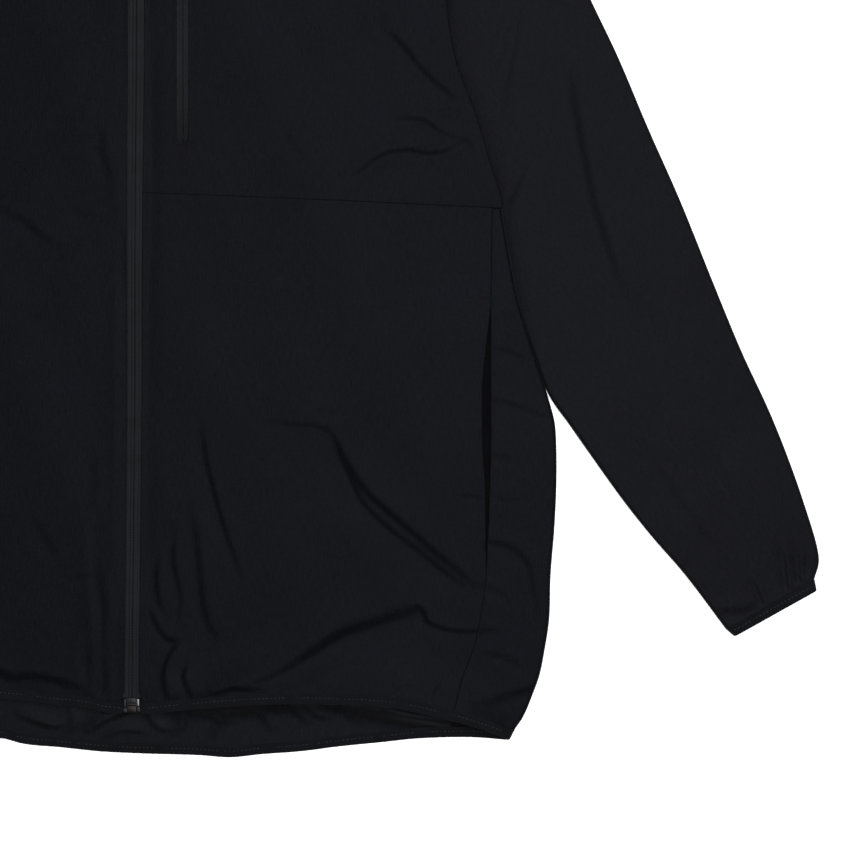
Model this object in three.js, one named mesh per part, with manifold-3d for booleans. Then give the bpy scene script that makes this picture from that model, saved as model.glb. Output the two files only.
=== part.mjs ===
// A softshell jacket laid flat and face up, zipped to the top of its stand collar.
//
// Millimetres. +X points to the wearer's left, +Y to the collar and +Z up out of the front.
// The pieces are drawn with x = 0 in the middle of the garment, y = 0 at the lowest point of the back
// hem and z = 0 under the back, which lies flat. The last lines bring the middle of the garment's
// length to y = 0. The back is one layer, the fronts lie over it, and the cloth turns round a small
// fold at the sides, the sleeves and the neck. Cut edges meet at a narrow seam gap.

import * as THREE from 'three';
import { mergeVertices } from 'three/addons/utils/BufferGeometryUtils.js';
import Module from 'manifold-3d';

const wasm = await Module();
wasm.setup();

// Cloth and layers
const CLOTH = 1.2;
const HOLLOW = 3.4;
const HEIGHT = 2 * CLOTH + HOLLOW;
const SEAM = 0.3;
const BINDING_CLOTH = 1.8;
const BINDING_WIDTH = 7.5;
const BINDING_PROUD = 0.3;
const FOLD_STEPS = 5;
const WELD = 1e-4;

// Main zip: half the opening between the fronts, the tapes under it and its metal end box
const ZIP_HALF_OPENING = 5.65;
const ZIP_HALF_OPENING_AT_BOX = 6.9;
const TAPE_THICKNESS = 1.0;
const TAPE_WIDTH = 13;
const TAPE_HALF_GAP = 0.3;
const TAPE_TOP_Z = HEIGHT - CLOTH - SEAM;
const BOX_SIZE = { width: 12, length: 12, thickness: 3.6, underside: 2.8, corner: 1.2, bevel: 0.4 };
const BOX_CORNER_SEGMENTS = 3;
const BOX_BOTTOM_Y = 30.2;

// Chest zip, in a slot of the wearer's left upper front
const CHEST_ZIP_X = 34.3;
const CHEST_ZIP_HALF_SLOT = 4.2;
const CHEST_TAPE_WIDTH = 7;
const CHEST_TAPE_OVERLAP = 4;
const CHEST_ZIP_BOTTOM = 433;
const CHEST_ZIP_TOP = 590;
const CHEST_PARTING_LENGTH = 3;

// Seam point where neck and shoulder meet, and the shoulder point
const NECK = { x: 76, y: 758 };
const SHOULDER = { x: 241, y: 705 };
const SHOULDER_PINCH = 10;
const SHOULDER_PINCH_START = 14;
const NECK_GAP = 0.8;

// Heights at which the side seam reaches the hem's binding, in front and behind
const FRONT_FOOT_Y = 33;
const BACK_FOOT_Y = 24;
const SIDE_FOOT_RISE = 1.2;

// Cloth behind each hand pocket's slot: rows of y, and its reach to both sides of the seam
const POCKET_CLOTH = { rows: [114, 150, 190, 225, 255, 290, 332], reach: [-16, 9] };

// Line of the main zip: y, x
const ZIP_LINE = [
  [0, -1.6],
  [40, -1.4],
  [140, -0.7],
  [250, 0.2],
  [360, 0.4],
  [425, 0.8],
  [530, 1.8],
  [900, 1.8],
];

// Half width of the front opening over the zip: y, x
const OPENING_LINE = [
  [0, ZIP_HALF_OPENING_AT_BOX],
  [44, ZIP_HALF_OPENING_AT_BOX],
  [52, ZIP_HALF_OPENING],
  [900, ZIP_HALF_OPENING],
];

// Side fold of the body, pulled in by the hem's elastic and by the armhole: y, x
const BODY_SIDE = [
  [11.9, 263.6],
  [18.9, 267.1],
  [25.9, 272],
  [32.9, 275.5],
  [39.9, 278.3],
  [57.4, 284.6],
  [74.9, 288.1],
  [92.4, 290.9],
  [127.4, 292.3],
  [162.4, 295.1],
  [197.4, 296.5],
  [228.9, 295.8],
  [255, 289.6],
  [290, 278.5],
  [321.3, 269.2],
  [350, 263.6],
  [384, 257.7],
];

// Seam between front and side panel, with the hand pocket's slot open on its front side: y, x, slot
const POCKET_SEAM = [
  [24, 222, 0],
  [38, 225.6, 0],
  [55.7, 230.4, 0],
  [71.8, 236.8, 0],
  [95.9, 242.6, 0],
  [124.6, 246.6, 0],
  [150, 248, 1.6],
  [190, 249.6, 3.6],
  [225, 250.2, 6.2],
  [255, 250.2, 6.2],
  [290, 250.2, 3.2],
  [321.3, 250.2, 0],
  [350, 250.6, 0],
  [384, 251, 0],
];

// Armhole seam, underarm to shoulder: y, x
const ARMHOLE = [
  [384.2, 258.2],
  [387.1, 257.9],
  [414, 250.2],
  [448.7, 239.8],
  [492.1, 224.4],
  [529.9, 218.8],
  [575, 216.5],
  [620, 219],
  [665, 227.5],
  [705, 241],
];

// Lower edge of the front hem, wearer's right to left: x, y
const FRONT_HEM = [
  [-263.6, 11.9],
  [-252.9, 16.3],
  [-240.9, 21],
  [-207.9, 31],
  [-188.7, 35],
  [-160, 38.5],
  [-125, 40.5],
  [-93.5, 40.6],
  [-76.7, 39.2],
  [-53.6, 36.4],
  [-36.8, 35],
  [-16.5, 30.8],
  [7.4, 30.1],
  [32.6, 32.6],
  [63.4, 35.4],
  [110.3, 37.8],
  [144.6, 37.1],
  [172.6, 35],
  [188.7, 32.4],
  [207.9, 29.2],
  [240.9, 21],
  [252.9, 16.3],
  [263.6, 11.9],
];

// Lower edge of the back hem, which hangs longer than the front: x, y
const BACK_HEM = [
  [-263.6, 11.9],
  [-239.3, 14.5],
  [-200, 15],
  [-150, 14.6],
  [-93.5, 13.3],
  [-79.5, 9.8],
  [-51.5, 7],
  [-23.5, 4.9],
  [4.6, 3.5],
  [46.6, 1.4],
  [67.6, 0],
  [88.6, 2.1],
  [116.6, 4.2],
  [144.6, 7.7],
  [172.6, 10.5],
  [200.6, 13.3],
  [239.3, 14],
  [263.6, 11.9],
];

// Seam across the wearer's left front: x, y
const CHEST_SEAM = [
  [6.7, 395.2],
  [140, 389.8],
  [260, 384],
];

// Neck seam, front and back, from the middle to the neck point: x, y
const NECK_FRONT = [
  [0, 703],
  [20, 704.5],
  [40, 711],
  [58, 725],
  [70, 742],
  [NECK.x, NECK.y],
];
const NECK_BACK = [
  [0, 768],
  [20, 767.8],
  [40, 767],
  [58, 764.5],
  [70, 761],
  [NECK.x, NECK.y],
];

// Height of the collar over its seam: x, height
const COLLAR_FRONT_HEIGHT = [
  [0, 62],
  [76, 60],
];
const COLLAR_SIDE = [
  { x: NECK.x, y: NECK.y + 2 },
  { x: 78.5, y: 788 },
  { x: 80, y: 818 },
];
const COLLAR_BACK_HEIGHT = [
  [0, 58],
  [76, 60],
];

// Sleeve, shoulder to wrist: points on the outer fold and on the underarm fold, and how much of the
// armhole's bow each section keeps. The underarm fold lies close beside the body down to the seventh.
const SLEEVE_SECTIONS = [
  { outer: [241.4, 705.2], under: [259.1, 387.1], bow: 1 },
  { outer: [269.5, 652], under: [260.4, 372], bow: 0.62 },
  { outer: [293.5, 598], under: [264, 350], bow: 0.46 },
  { outer: [314.5, 544], under: [266.9, 335], bow: 0.32 },
  { outer: [337.8, 494.9], under: [269.7, 321.3], bow: 0.2 },
  { outer: [360, 442.6], under: [279, 290], bow: 0.1 },
  { outer: [383.3, 389.9], under: [290.1, 255], bow: 0.03 },
  { outer: [405, 336], under: [306, 231.5], bow: 0 },
  { outer: [426, 284.9], under: [322.5, 208], bow: 0 },
  { outer: [448.5, 236], under: [342.7, 179.9], bow: 0 },
  { outer: [469.4, 179.9], under: [364.5, 152.5], bow: 0 },
  { outer: [480.6, 139.5], under: [389.5, 123.5], bow: 0 },
  { outer: [477.3, 124.3], under: [415.2, 89.2], bow: 0 },
];

// The elastic at the wrist, from the sleeve's end to its free edge
const CUFF_SECTIONS = [
  { outer: [477.3, 123.7], under: [415.75, 88.65], bow: 0 },
  { outer: [478.8, 116.5], under: [421.1, 84.2], bow: 0 },
];
const CUFF_SHARES = [0.2, 0.4, 0.6, 0.8];

// Zip slider, in its own frame: origin on the tapes at its lower end, +Y along the zip
const SLIDER = {
  halfWidth: 5,
  length: 11,
  plate: 1.5,
  partingStart: 3,
  partingEnd: 6,
  postHalfWidth: 0.9,
  postStart: 7,
  postEnd: 10,
  sink: 0.4,
  archHalfWidth: 1.2,
  archFoot: 1.4,
  archInside: 3,
  archUnderside: 4.4,
  archThickness: 1.2,
  pivotY: 4.2,
  pivotZ: 3.1,
};
const PULL = { bar: 1.6, halfWidth: 3.6, eyeHalfWidth: 1.8, eyeLength: 4.4, length: 24, tipHalfWidth: 2.8 };
const MAIN_SLIDER_Y = 747;
const CHEST_SLIDER_Y = 573;
const CHEST_SLIDER_SCALE = 0.72;
const PULL_TIP_SEGMENTS = 8;
const ZIP_STOP = { width: 1.8, length: 3, thickness: 1.5 };

const black = { roughness: 0.8, metalness: 0 };
const FINISHES = {
  shell: { color: 0x18191c, ...black },
  pocket: { color: 0x16120f, ...black },
  elastic: { color: 0x1d1e21, ...black },
  tape: { color: 0x2a2b2e, roughness: 0.7, metalness: 0 },
  coatedTape: { color: 0x35373a, roughness: 0.4, metalness: 0 },
  metal: { color: 0xb9b6b0, roughness: 0.3, metalness: 0.9 },
};

const jacket = new THREE.Group();
jacket.name = 'softshell_jacket';

// --- Small tools ---

const mix = (a, b, t) => a + (b - a) * t;
const mixPoints = (a, b, t) => a.map((value, k) => mix(value, b[k], t));
const smooth = (t) => THREE.MathUtils.smoothstep(t, 0, 1);

// Value of a table's column at a place along its first column, straight between rows.
function lookUp(table, place, column = 1) {
  const last = table.length - 2;
  let row = 0;
  while (row < last && place > table[row + 1][0]) row += 1;
  const [low, high] = [table[row], table[row + 1]];
  return mix(low[column], high[column], (place - low[0]) / (high[0] - low[0]));
}

function addPiece(name, geometry, finish) {
  const material = new THREE.MeshStandardMaterial(FINISHES[finish]);
  material.name = finish;
  const mesh = new THREE.Mesh(geometry, material);
  mesh.name = name;
  jacket.add(mesh);
  return mesh;
}

// One closed body from a list of triangle corners, its faces turned outwards.
function closedBody(corners) {
  let volume = 0;
  for (let k = 0; k < corners.length; k += 3) {
    const [a, b, c] = corners.slice(k, k + 3).map((point) => new THREE.Vector3(...point));
    volume += a.dot(b.cross(c));
  }
  if (volume < 0) corners.reverse();
  const geometry = new THREE.BufferGeometry();
  geometry.setAttribute('position', new THREE.Float32BufferAttribute(corners.flat(), 3));
  const merged = mergeVertices(geometry, WELD);
  merged.computeVertexNormals();
  return merged;
}

// A wall of cloth over a grid. outer(i, j) and inner(i, j) are its two faces, a ring closes on its
// first column, and cells for which open(i, j) holds are left out as a slot.
function clothWall({ columns, rows, outer, inner, ring = false, open = () => false }) {
  const corners = [];
  const quad = (a, b, c, d) => corners.push(a, b, c, a, c, d);
  const wrap = (i) => (ring ? (i + columns) % columns : i);
  const present = (i, j) => {
    const column = wrap(i);
    return column >= 0 && column < columns && j >= 0 && j < rows && !open(column, j);
  };
  for (let i = 0; i < columns; i += 1) {
    for (let j = 0; j < rows; j += 1) {
      if (!present(i, j)) continue;
      const cell = [[i, j], [wrap(i + 1), j], [wrap(i + 1), j + 1], [i, j + 1]];
      const outside = cell.map(([a, b]) => outer(a, b));
      const inside = cell.map(([a, b]) => inner(a, b));
      quad(outside[0], outside[1], outside[2], outside[3]);
      quad(inside[3], inside[2], inside[1], inside[0]);
      const neighbours = [[i, j - 1], [i + 1, j], [i, j + 1], [i - 1, j]];
      neighbours.forEach(([a, b], side) => {
        if (present(a, b)) return;
        const next = (side + 1) % 4;
        quad(outside[next], outside[side], inside[side], inside[next]);
      });
    }
  }
  return closedBody(corners);
}

// Plan point of the patch between four edges, each a function of 0..1 that gives [x, y].
function patchPoint({ bottom, top, left, right }, u, v) {
  const rowsBlend = mixPoints(bottom(u), top(u), v);
  const columnsBlend = mixPoints(left(v), right(v), u);
  const low = mixPoints(bottom(0), bottom(1), u);
  const high = mixPoints(top(0), top(1), u);
  const cornersBlend = mixPoints(low, high, v);
  return rowsBlend.map((value, k) => value + columnsBlend[k] - cornersBlend[k]);
}

// --- Heights of the two layers ---

// 1 along the shoulder seam, where front and back are drawn together, 0 away from it.
function shoulderPinch(x, y) {
  const across = Math.abs(x);
  const slope = (SHOULDER.y - NECK.y) / (SHOULDER.x - NECK.x);
  const below = NECK.y + (across - NECK.x) * slope - y;
  const alongSeam = smooth((across - NECK.x) / SHOULDER_PINCH_START);
  return alongSeam * THREE.MathUtils.clamp(1 - below / SHOULDER_PINCH, 0, 1);
}

const frontTop = (x, y) => mix(HEIGHT, HEIGHT / 2 + SEAM / 2 + CLOTH, shoulderPinch(x, y));
const backUnderside = (x, y) => mix(0, HEIGHT / 2 - SEAM / 2 - CLOTH, shoulderPinch(x, y));

// A panel of one layer over a patch of the plan, mirrored to the wearer's right where side is -1.
function addPanel(name, { edges, us, vs, layer, side = 1, pin = (i, point) => point, open }) {
  const plan = (i, j) => {
    const point = pin(i, patchPoint(edges, us[i], vs[j]));
    return [side * point[0], point[1]];
  };
  const face = (i, j, depth) => {
    const [x, y] = plan(i, j);
    const z = layer === 'front' ? frontTop(x, y) - depth : backUnderside(x, y) + depth;
    return [x, y, z];
  };
  const outer = (i, j) => face(i, j, 0);
  const inner = (i, j) => face(i, j, CLOTH);
  const size = { columns: us.length - 1, rows: vs.length - 1 };
  return addPiece(name, clothWall({ ...size, outer, inner, open }), 'shell');
}

// Edges of a patch: u runs along x through one place for each column, and v evenly along y.
const throughX = (us, places, height) => {
  const table = us.map((u, k) => [u, places[k]]);
  return (u) => {
    const x = lookUp(table, u);
    return [x, height(x)];
  };
};
const alongY = (from, to, place) => (v) => {
  const y = mix(from, to, v);
  return [place(y), y];
};
const shares = (places) => places.map((place) => (place - places[0]) / (places.at(-1) - places[0]));

const zipX = (y) => lookUp(ZIP_LINE, y);
const openingEdge = (side) => (y) => lookUp(OPENING_LINE, y) + side * zipX(y);
const frontHem = (side) => (x) => lookUp(FRONT_HEM, side * x) + BINDING_WIDTH + SEAM;
const backHem = (x) => lookUp(BACK_HEM, x) + BINDING_WIDTH + SEAM;
const neckAndShoulder = (neck) => (x) => {
  const across = Math.abs(x);
  if (across <= NECK.x) return lookUp(neck, across) - NECK_GAP / 2;
  return mix(NECK.y, SHOULDER.y, (across - NECK.x) / (SHOULDER.x - NECK.x)) - NECK_GAP / 2;
};

// Rows of the side seam and of the armhole, shared by every piece that meets there.
const SEAM_ROWS = [45, 55.7, 71.8, 95.9, 124.6, 150, 190, 225, 255, 290, 321.3, 350];
const ARMHOLE_ROWS = ARMHOLE.map(([y]) => y);
const SHOULDER_ROWS = [...ARMHOLE_ROWS.slice(0, -1), SHOULDER.y - SHOULDER_PINCH];
const SEAM_TOP = 383.5;
const SIDE_SHARES = [0, 0.41, 0.72, 1];

// Places along the hem and the neck that the panels share with the binding and the collar.
const LEFT_HEM_PLACES = [32.6, 63.4, 86, 110.3, 144.6, 172.6, 188.7, 207.9];
const RIGHT_HEM_PLACES = [16.5, 36.8, 53.6, 76.7, 93.5, 125, 160, 188.7, 207.9];
const BACK_HEM_PLACES = [
  ...[-200, -175, -150, -120, -93.5, -79.5, -51.5, -37, -23.5],
  ...[4.6, 25, 46.6, 67.6, 88.6, 102, 116.6, 144.6, 172.6, 200.6],
];
const HEM_SIDE_PLACES = { front: [240.9, 252.9], back: [239.3, 252] };
const NECK_PLACES = [20, 40, 58, 70, NECK.x, 90, 125, 160, 200];
const CHEST_SLOT = [CHEST_ZIP_X - CHEST_ZIP_HALF_SLOT, CHEST_ZIP_X + CHEST_ZIP_HALF_SLOT];
const LEFT_NECK_PLACES = [...CHEST_SLOT, ...NECK_PLACES.slice(2)];

// Side edges of the panels: up the pocket seam, a step out to the underarm, up the armhole.
const armholeEdge = (y) => lookUp(ARMHOLE, y) - SEAM / 2;
const backEdge = (y) => (y < ARMHOLE_ROWS[0] ? lookUp(POCKET_SEAM, y) - SEAM / 2 : armholeEdge(y));
const seamEdge = (y) => lookUp(POCKET_SEAM, y) - lookUp(POCKET_SEAM, y, 2) - SEAM / 2;
const frontEdge = (y) => (y < ARMHOLE_ROWS[0] ? seamEdge(y) : armholeEdge(y));

// --- Fronts ---

function addLeftLowerFront() {
  const hem = frontHem(1);
  const opening = openingEdge(1);
  const chest = (x) => lookUp(CHEST_SEAM, x) - SEAM / 2;
  const hemPlaces = [opening(BOX_BOTTOM_Y), ...LEFT_HEM_PLACES, seamEdge(FRONT_FOOT_Y)];
  const us = shares(hemPlaces);
  const chestPlaces = us.map((u) => mix(opening(chest(CHEST_SEAM[0][0])), seamEdge(SEAM_TOP), u));
  const rows = [hem(hemPlaces.at(-1)), ...SEAM_ROWS, chest(chestPlaces.at(-1))];
  const edges = {
    bottom: throughX(us, hemPlaces, hem),
    top: throughX(us, chestPlaces, chest),
    left: alongY(hem(hemPlaces[0]), chest(chestPlaces[0]), opening),
    right: alongY(rows[0], rows.at(-1), seamEdge),
  };
  addPanel('left_lower_front_panel', { edges, us, vs: shares(rows), layer: 'front' });
}

function addLeftChestPanel() {
  const opening = openingEdge(1);
  const chest = (x) => lookUp(CHEST_SEAM, x) + SEAM / 2;
  const top = neckAndShoulder(NECK_FRONT);
  const topPlaces = [opening(NECK_FRONT[0][1]), ...LEFT_NECK_PLACES, armholeEdge(SHOULDER.y)];
  const [low, high] = [ARMHOLE_ROWS[0] + SEAM / 2, top(topPlaces.at(-1))];
  const us = shares(topPlaces);
  const chestPlaces = us.map((u) => mix(opening(chest(CHEST_SEAM[0][0])), armholeEdge(low), u));
  const slotX = CHEST_SLOT[0];
  const slotRow = (y) => mix(low, high, (y - chest(slotX)) / (top(slotX) - chest(slotX)));
  const slotRows = [slotRow(CHEST_ZIP_BOTTOM), slotRow(CHEST_ZIP_TOP)];
  const rows = [low, ...SHOULDER_ROWS.slice(1, -1), ...slotRows, high].sort((a, b) => a - b);
  const edges = {
    bottom: throughX(us, chestPlaces, chest),
    top: throughX(us, topPlaces, top),
    left: alongY(chest(chestPlaces[0]), top(topPlaces[0]), opening),
    right: alongY(low, high, armholeEdge),
  };
  const pin = (i, [x, y]) => [i === 1 || i === 2 ? CHEST_SLOT[i - 1] : x, y];
  const open = (i, j) => i === 1 && rows[j] >= slotRows[0] && rows[j] < slotRows[1];
  addPanel('left_chest_panel', { edges, us, vs: shares(rows), layer: 'front', pin, open });
}

function addRightFront() {
  const hem = frontHem(-1);
  const opening = openingEdge(-1);
  const top = neckAndShoulder(NECK_FRONT);
  const hemPlaces = [opening(BOX_BOTTOM_Y), ...RIGHT_HEM_PLACES, seamEdge(FRONT_FOOT_Y)];
  const topPlaces = [opening(NECK_FRONT[0][1]), ...NECK_PLACES, armholeEdge(SHOULDER.y)];
  const us = shares(hemPlaces);
  const rows = [hem(hemPlaces.at(-1)), ...SEAM_ROWS, SEAM_TOP, ...SHOULDER_ROWS, top(topPlaces.at(-1))];
  const edges = {
    bottom: throughX(us, hemPlaces, hem),
    top: throughX(us, topPlaces, top),
    left: alongY(hem(hemPlaces[0]), top(topPlaces[0]), opening),
    right: alongY(rows[0], rows.at(-1), frontEdge),
  };
  addPanel('right_front_panel', { edges, us, vs: shares(rows), layer: 'front', side: -1 });
}

// --- Back ---

function addBack() {
  const top = neckAndShoulder(NECK_BACK);
  const edge = { low: backEdge(BACK_FOOT_Y), high: armholeEdge(SHOULDER.y) };
  const hemPlaces = [-edge.low, ...BACK_HEM_PLACES, edge.low];
  const halfPlaces = [...NECK_PLACES, edge.high];
  const topPlaces = [...halfPlaces.map((x) => -x).reverse(), 0, ...halfPlaces];
  const us = shares(hemPlaces);
  const rows = [backHem(edge.low), ...SEAM_ROWS, SEAM_TOP, ...SHOULDER_ROWS, top(edge.high)];
  const edges = {
    bottom: throughX(us, hemPlaces, backHem),
    top: throughX(us, topPlaces, top),
    left: alongY(backHem(-edge.low), rows.at(-1), (y) => -backEdge(y)),
    right: alongY(rows[0], rows.at(-1), backEdge),
  };
  addPanel('back_panel', { edges, us, vs: shares(rows), layer: 'back' });
}

// --- Folds ---

// Cross-section steps of a fold from the top layer, 0, round to the bottom layer, 1.
const foldSteps = Array.from({ length: FOLD_STEPS + 1 }, (unused, k) => k / FOLD_STEPS);

// How far a fold point lies in from the fold's outermost line, and its height, at a depth in the cloth.
function foldPoint(turn, top, bottom, depth) {
  const radius = (top - bottom) / 2;
  const angle = turn * Math.PI;
  const inset = radius - (radius - depth) * Math.sin(angle);
  return { inset, z: bottom + radius + (radius - depth) * Math.cos(angle) };
}

// --- Side panels, wrapped round the side fold from the pocket seam to the back seam ---

function addSidePanel(side) {
  const seam = (y) => lookUp(POCKET_SEAM, y) + SEAM / 2;
  const first = {
    front: frontHem(side)(seam(FRONT_FOOT_Y)),
    side: BODY_SIDE[1][0] + SIDE_FOOT_RISE,
    back: backHem(side * seam(BACK_FOOT_Y)),
  };
  const level = (y) => ({ front: y, side: y, back: y });
  const rows = [first, ...SEAM_ROWS.map(level), level(SEAM_TOP - SEAM / 2)];
  const flat = SIDE_SHARES;
  const stations = [
    ...flat.map((share) => ({ layer: 'top', share })),
    ...foldSteps.slice(1, -1).map((turn) => ({ layer: 'fold', turn })),
    ...flat.slice().reverse().map((share) => ({ layer: 'bottom', share })),
  ];
  const face = (i, j, depth) => {
    const { layer, share, turn } = stations[i];
    const row = rows[j];
    const edgeX = lookUp(BODY_SIDE, row.side);
    if (layer === 'fold') {
      const { inset, z } = foldPoint(turn, HEIGHT, 0, depth);
      return [side * (edgeX - inset), row.side, z];
    }
    const seamY = layer === 'top' ? row.front : row.back;
    const x = mix(seam(seamY), edgeX - HEIGHT / 2, share);
    const hem = layer === 'top' ? frontHem(side) : (place) => backHem(side * place);
    const y = row === first && share < 1 ? hem(x) : mix(seamY, row.side, share);
    return [side * x, y, layer === 'top' ? HEIGHT - depth : depth];
  };
  const name = side > 0 ? 'left_side_panel' : 'right_side_panel';
  const size = { columns: stations.length - 1, rows: rows.length - 1 };
  const outer = (i, j) => face(i, j, 0);
  const inner = (i, j) => face(i, j, CLOTH);
  addPiece(name, clothWall({ ...size, outer, inner }), 'shell');
}

// --- Bands that run from one zip edge round the back to the other: hem binding and collar ---

// stations name the places along the band, and rows give its side fold and its front and back lines.
function addBand(name, { stations, rows, place, top, thickness, finish }) {
  const face = (i, j, depth) => {
    const { layer, side, turn } = stations[i];
    const row = rows[j];
    if (layer === 'fold') {
      const { inset, z } = foldPoint(turn, top, 0, depth);
      return [side * (row.side.x - inset), row.side.y, z];
    }
    const x = place(stations[i], row);
    return layer === 'top' ? [x, row.front(x), top - depth] : [x, row.back(x), depth];
  };
  const size = { columns: stations.length - 1, rows: rows.length - 1 };
  const outer = (i, j) => face(i, j, 0);
  const inner = (i, j) => face(i, j, thickness);
  addPiece(name, clothWall({ ...size, outer, inner }), finish);
}

// Stations from the zip edge of the wearer's left, round the back, to the zip edge of the right.
function bandStations({ leftFront, back, rightFront }) {
  const fold = (side) => foldSteps.map((turn) => ({ layer: 'fold', side, turn }));
  const flat = (layer, places) => places.map((x) => ({ layer, x }));
  const leftEnd = { layer: 'top', opening: 1 };
  const rightEnd = { layer: 'top', opening: -1 };
  return [
    ...[leftEnd, ...flat('top', leftFront), ...fold(1)],
    ...flat('bottom', back),
    ...[...fold(-1).reverse(), ...flat('top', rightFront), rightEnd],
  ];
}

function addHemBinding() {
  const frontSide = [backEdge(FRONT_FOOT_Y), ...HEM_SIDE_PLACES.front];
  const backSide = [backEdge(BACK_FOOT_Y), ...HEM_SIDE_PLACES.back];
  const backward = (places) => places.slice().reverse();
  const mirrored = (places) => places.map((x) => -x);
  const stations = bandStations({
    leftFront: [...LEFT_HEM_PLACES, ...frontSide],
    back: [...backward(backSide), ...backward(BACK_HEM_PLACES), ...mirrored(backSide)],
    rightFront: backward(mirrored([...RIGHT_HEM_PLACES, ...frontSide])),
  });
  const row = (rise, side) => ({
    side,
    front: (x) => lookUp(FRONT_HEM, x) + rise,
    back: (x) => lookUp(BACK_HEM, x) + rise,
  });
  const corner = { x: BODY_SIDE[0][1], y: BODY_SIDE[0][0] };
  const above = { x: BODY_SIDE[1][1], y: corner.y + BINDING_WIDTH };
  const end = (side) => zipX(BOX_BOTTOM_Y) + side * (BOX_SIZE.width / 2 + SEAM);
  addBand('hem_binding', {
    stations,
    rows: [row(0, corner), row(BINDING_WIDTH, above)],
    place: ({ x, opening }) => (opening ? end(opening) : x),
    top: HEIGHT + BINDING_PROUD,
    thickness: BINDING_CLOTH,
    finish: 'elastic',
  });
}

function addCollar() {
  const rows = COLLAR_SIDE.map((side, k) => {
    const share = k / (COLLAR_SIDE.length - 1);
    const seamX = (x) => Math.abs(x) * NECK.x / side.x;
    const rise = (x, heights) => NECK_GAP / 2 + share * lookUp(heights, seamX(x));
    return {
      side,
      front: (x) => lookUp(NECK_FRONT, seamX(x)) + rise(x, COLLAR_FRONT_HEIGHT),
      back: (x) => lookUp(NECK_BACK, seamX(x)) + rise(x, COLLAR_BACK_HEIGHT),
    };
  });
  const places = NECK_PLACES.slice(0, 4);
  const inward = places.slice().reverse();
  const outward = places.map((x) => -x);
  addBand('collar', {
    stations: bandStations({
      leftFront: LEFT_NECK_PLACES.slice(0, 4),
      back: [...inward, 0, ...outward],
      rightFront: outward.slice().reverse(),
    }),
    rows,
    place: ({ x, opening }, { side, front }) => {
      if (opening) return opening * openingEdge(opening)(front(0));
      return x * side.x / NECK.x;
    },
    top: HEIGHT,
    thickness: CLOTH,
    finish: 'shell',
  });
}

// --- Sleeves and cuffs: flattened tubes ---

// Shares of the way from outer fold to underarm fold at the armhole's rows.
const sleeveReach = SHOULDER.y - SLEEVE_SECTIONS[0].under[1];
const sleeveShares = ARMHOLE.slice(2, -1).map(([y]) => (SHOULDER.y - y) / sleeveReach).reverse();

// How far the armhole bows in from the straight line between its two ends.
function armholeBow(share) {
  const place = (part) => lookUp(ARMHOLE, SHOULDER.y - part * sleeveReach);
  return place(share) - mix(place(0), place(1), share);
}

function tubeStations(flatShares) {
  const turns = foldSteps;
  return [
    ...flatShares.map((share) => ({ layer: 'top', share })),
    ...turns.map((turn) => ({ layer: 'underFold', turn })),
    ...flatShares.slice().reverse().map((share) => ({ layer: 'bottom', share })),
    ...turns.slice().reverse().map((turn) => ({ layer: 'outerFold', turn })),
  ];
}

function addTube(name, { sections, flatShares, side, top, thickness, finish }) {
  const stations = tubeStations(flatShares);
  const face = (i, j, depth) => {
    const { outer, under, bow } = sections[j];
    const width = Math.hypot(under[0] - outer[0], under[1] - outer[1]);
    const { layer, share: flatShare, turn } = stations[i];
    let share = flatShare;
    let z = layer === 'top' ? top - depth : depth;
    if (turn !== undefined) {
      const fold = foldPoint(turn, top, 0, depth);
      z = fold.z;
      share = layer === 'outerFold' ? fold.inset / width : 1 - fold.inset / width;
    }
    const [x, y] = mixPoints(outer, under, share);
    return [side * (x + bow * armholeBow(share)), y, z];
  };
  const size = { columns: stations.length, rows: sections.length - 1, ring: true };
  const outer = (i, j) => face(i, j, 0);
  const inner = (i, j) => face(i, j, thickness);
  addPiece(name, clothWall({ ...size, outer, inner }), finish);
}

function addSleeve(side) {
  const word = side > 0 ? 'left' : 'right';
  const cloth = { top: HEIGHT, thickness: CLOTH, finish: 'shell' };
  addTube(`${word}_sleeve`, { sections: SLEEVE_SECTIONS, flatShares: sleeveShares, side, ...cloth });
  const elastic = { top: HEIGHT + BINDING_PROUD, thickness: BINDING_CLOTH, finish: 'elastic' };
  const cuff = { sections: CUFF_SECTIONS, flatShares: CUFF_SHARES };
  addTube(`${word}_cuff_binding`, { ...cuff, side, ...elastic });
}

// --- Inner cloth of the hand pockets, behind each slot ---

function addPocketCloth(side) {
  const { rows, reach } = POCKET_CLOTH;
  const face = (i, j, z) => [side * (lookUp(POCKET_SEAM, rows[j]) + reach[i]), rows[j], z];
  const outer = (i, j) => face(i, j, TAPE_TOP_Z);
  const inner = (i, j) => face(i, j, TAPE_TOP_Z - TAPE_THICKNESS);
  const name = side > 0 ? 'left_pocket_cloth' : 'right_pocket_cloth';
  addPiece(name, clothWall({ columns: 1, rows: rows.length - 1, outer, inner }), 'pocket');
}

// --- Zips ---

// A tape that lies under the edge of the opening. line(y) is the zip's middle, and gap(y) the
// distance from it to the tape's inner edge.
function addTape(name, { side, line, gap, width, rows, finish }) {
  const face = (i, j, z) => {
    const y = rows[j];
    return [line(y) + side * (gap(y) + i * width), y, z];
  };
  const outer = (i, j) => face(i, j, TAPE_TOP_Z);
  const inner = (i, j) => face(i, j, TAPE_TOP_Z - TAPE_THICKNESS);
  addPiece(name, clothWall({ columns: 1, rows: rows.length - 1, outer, inner }), finish);
}

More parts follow.
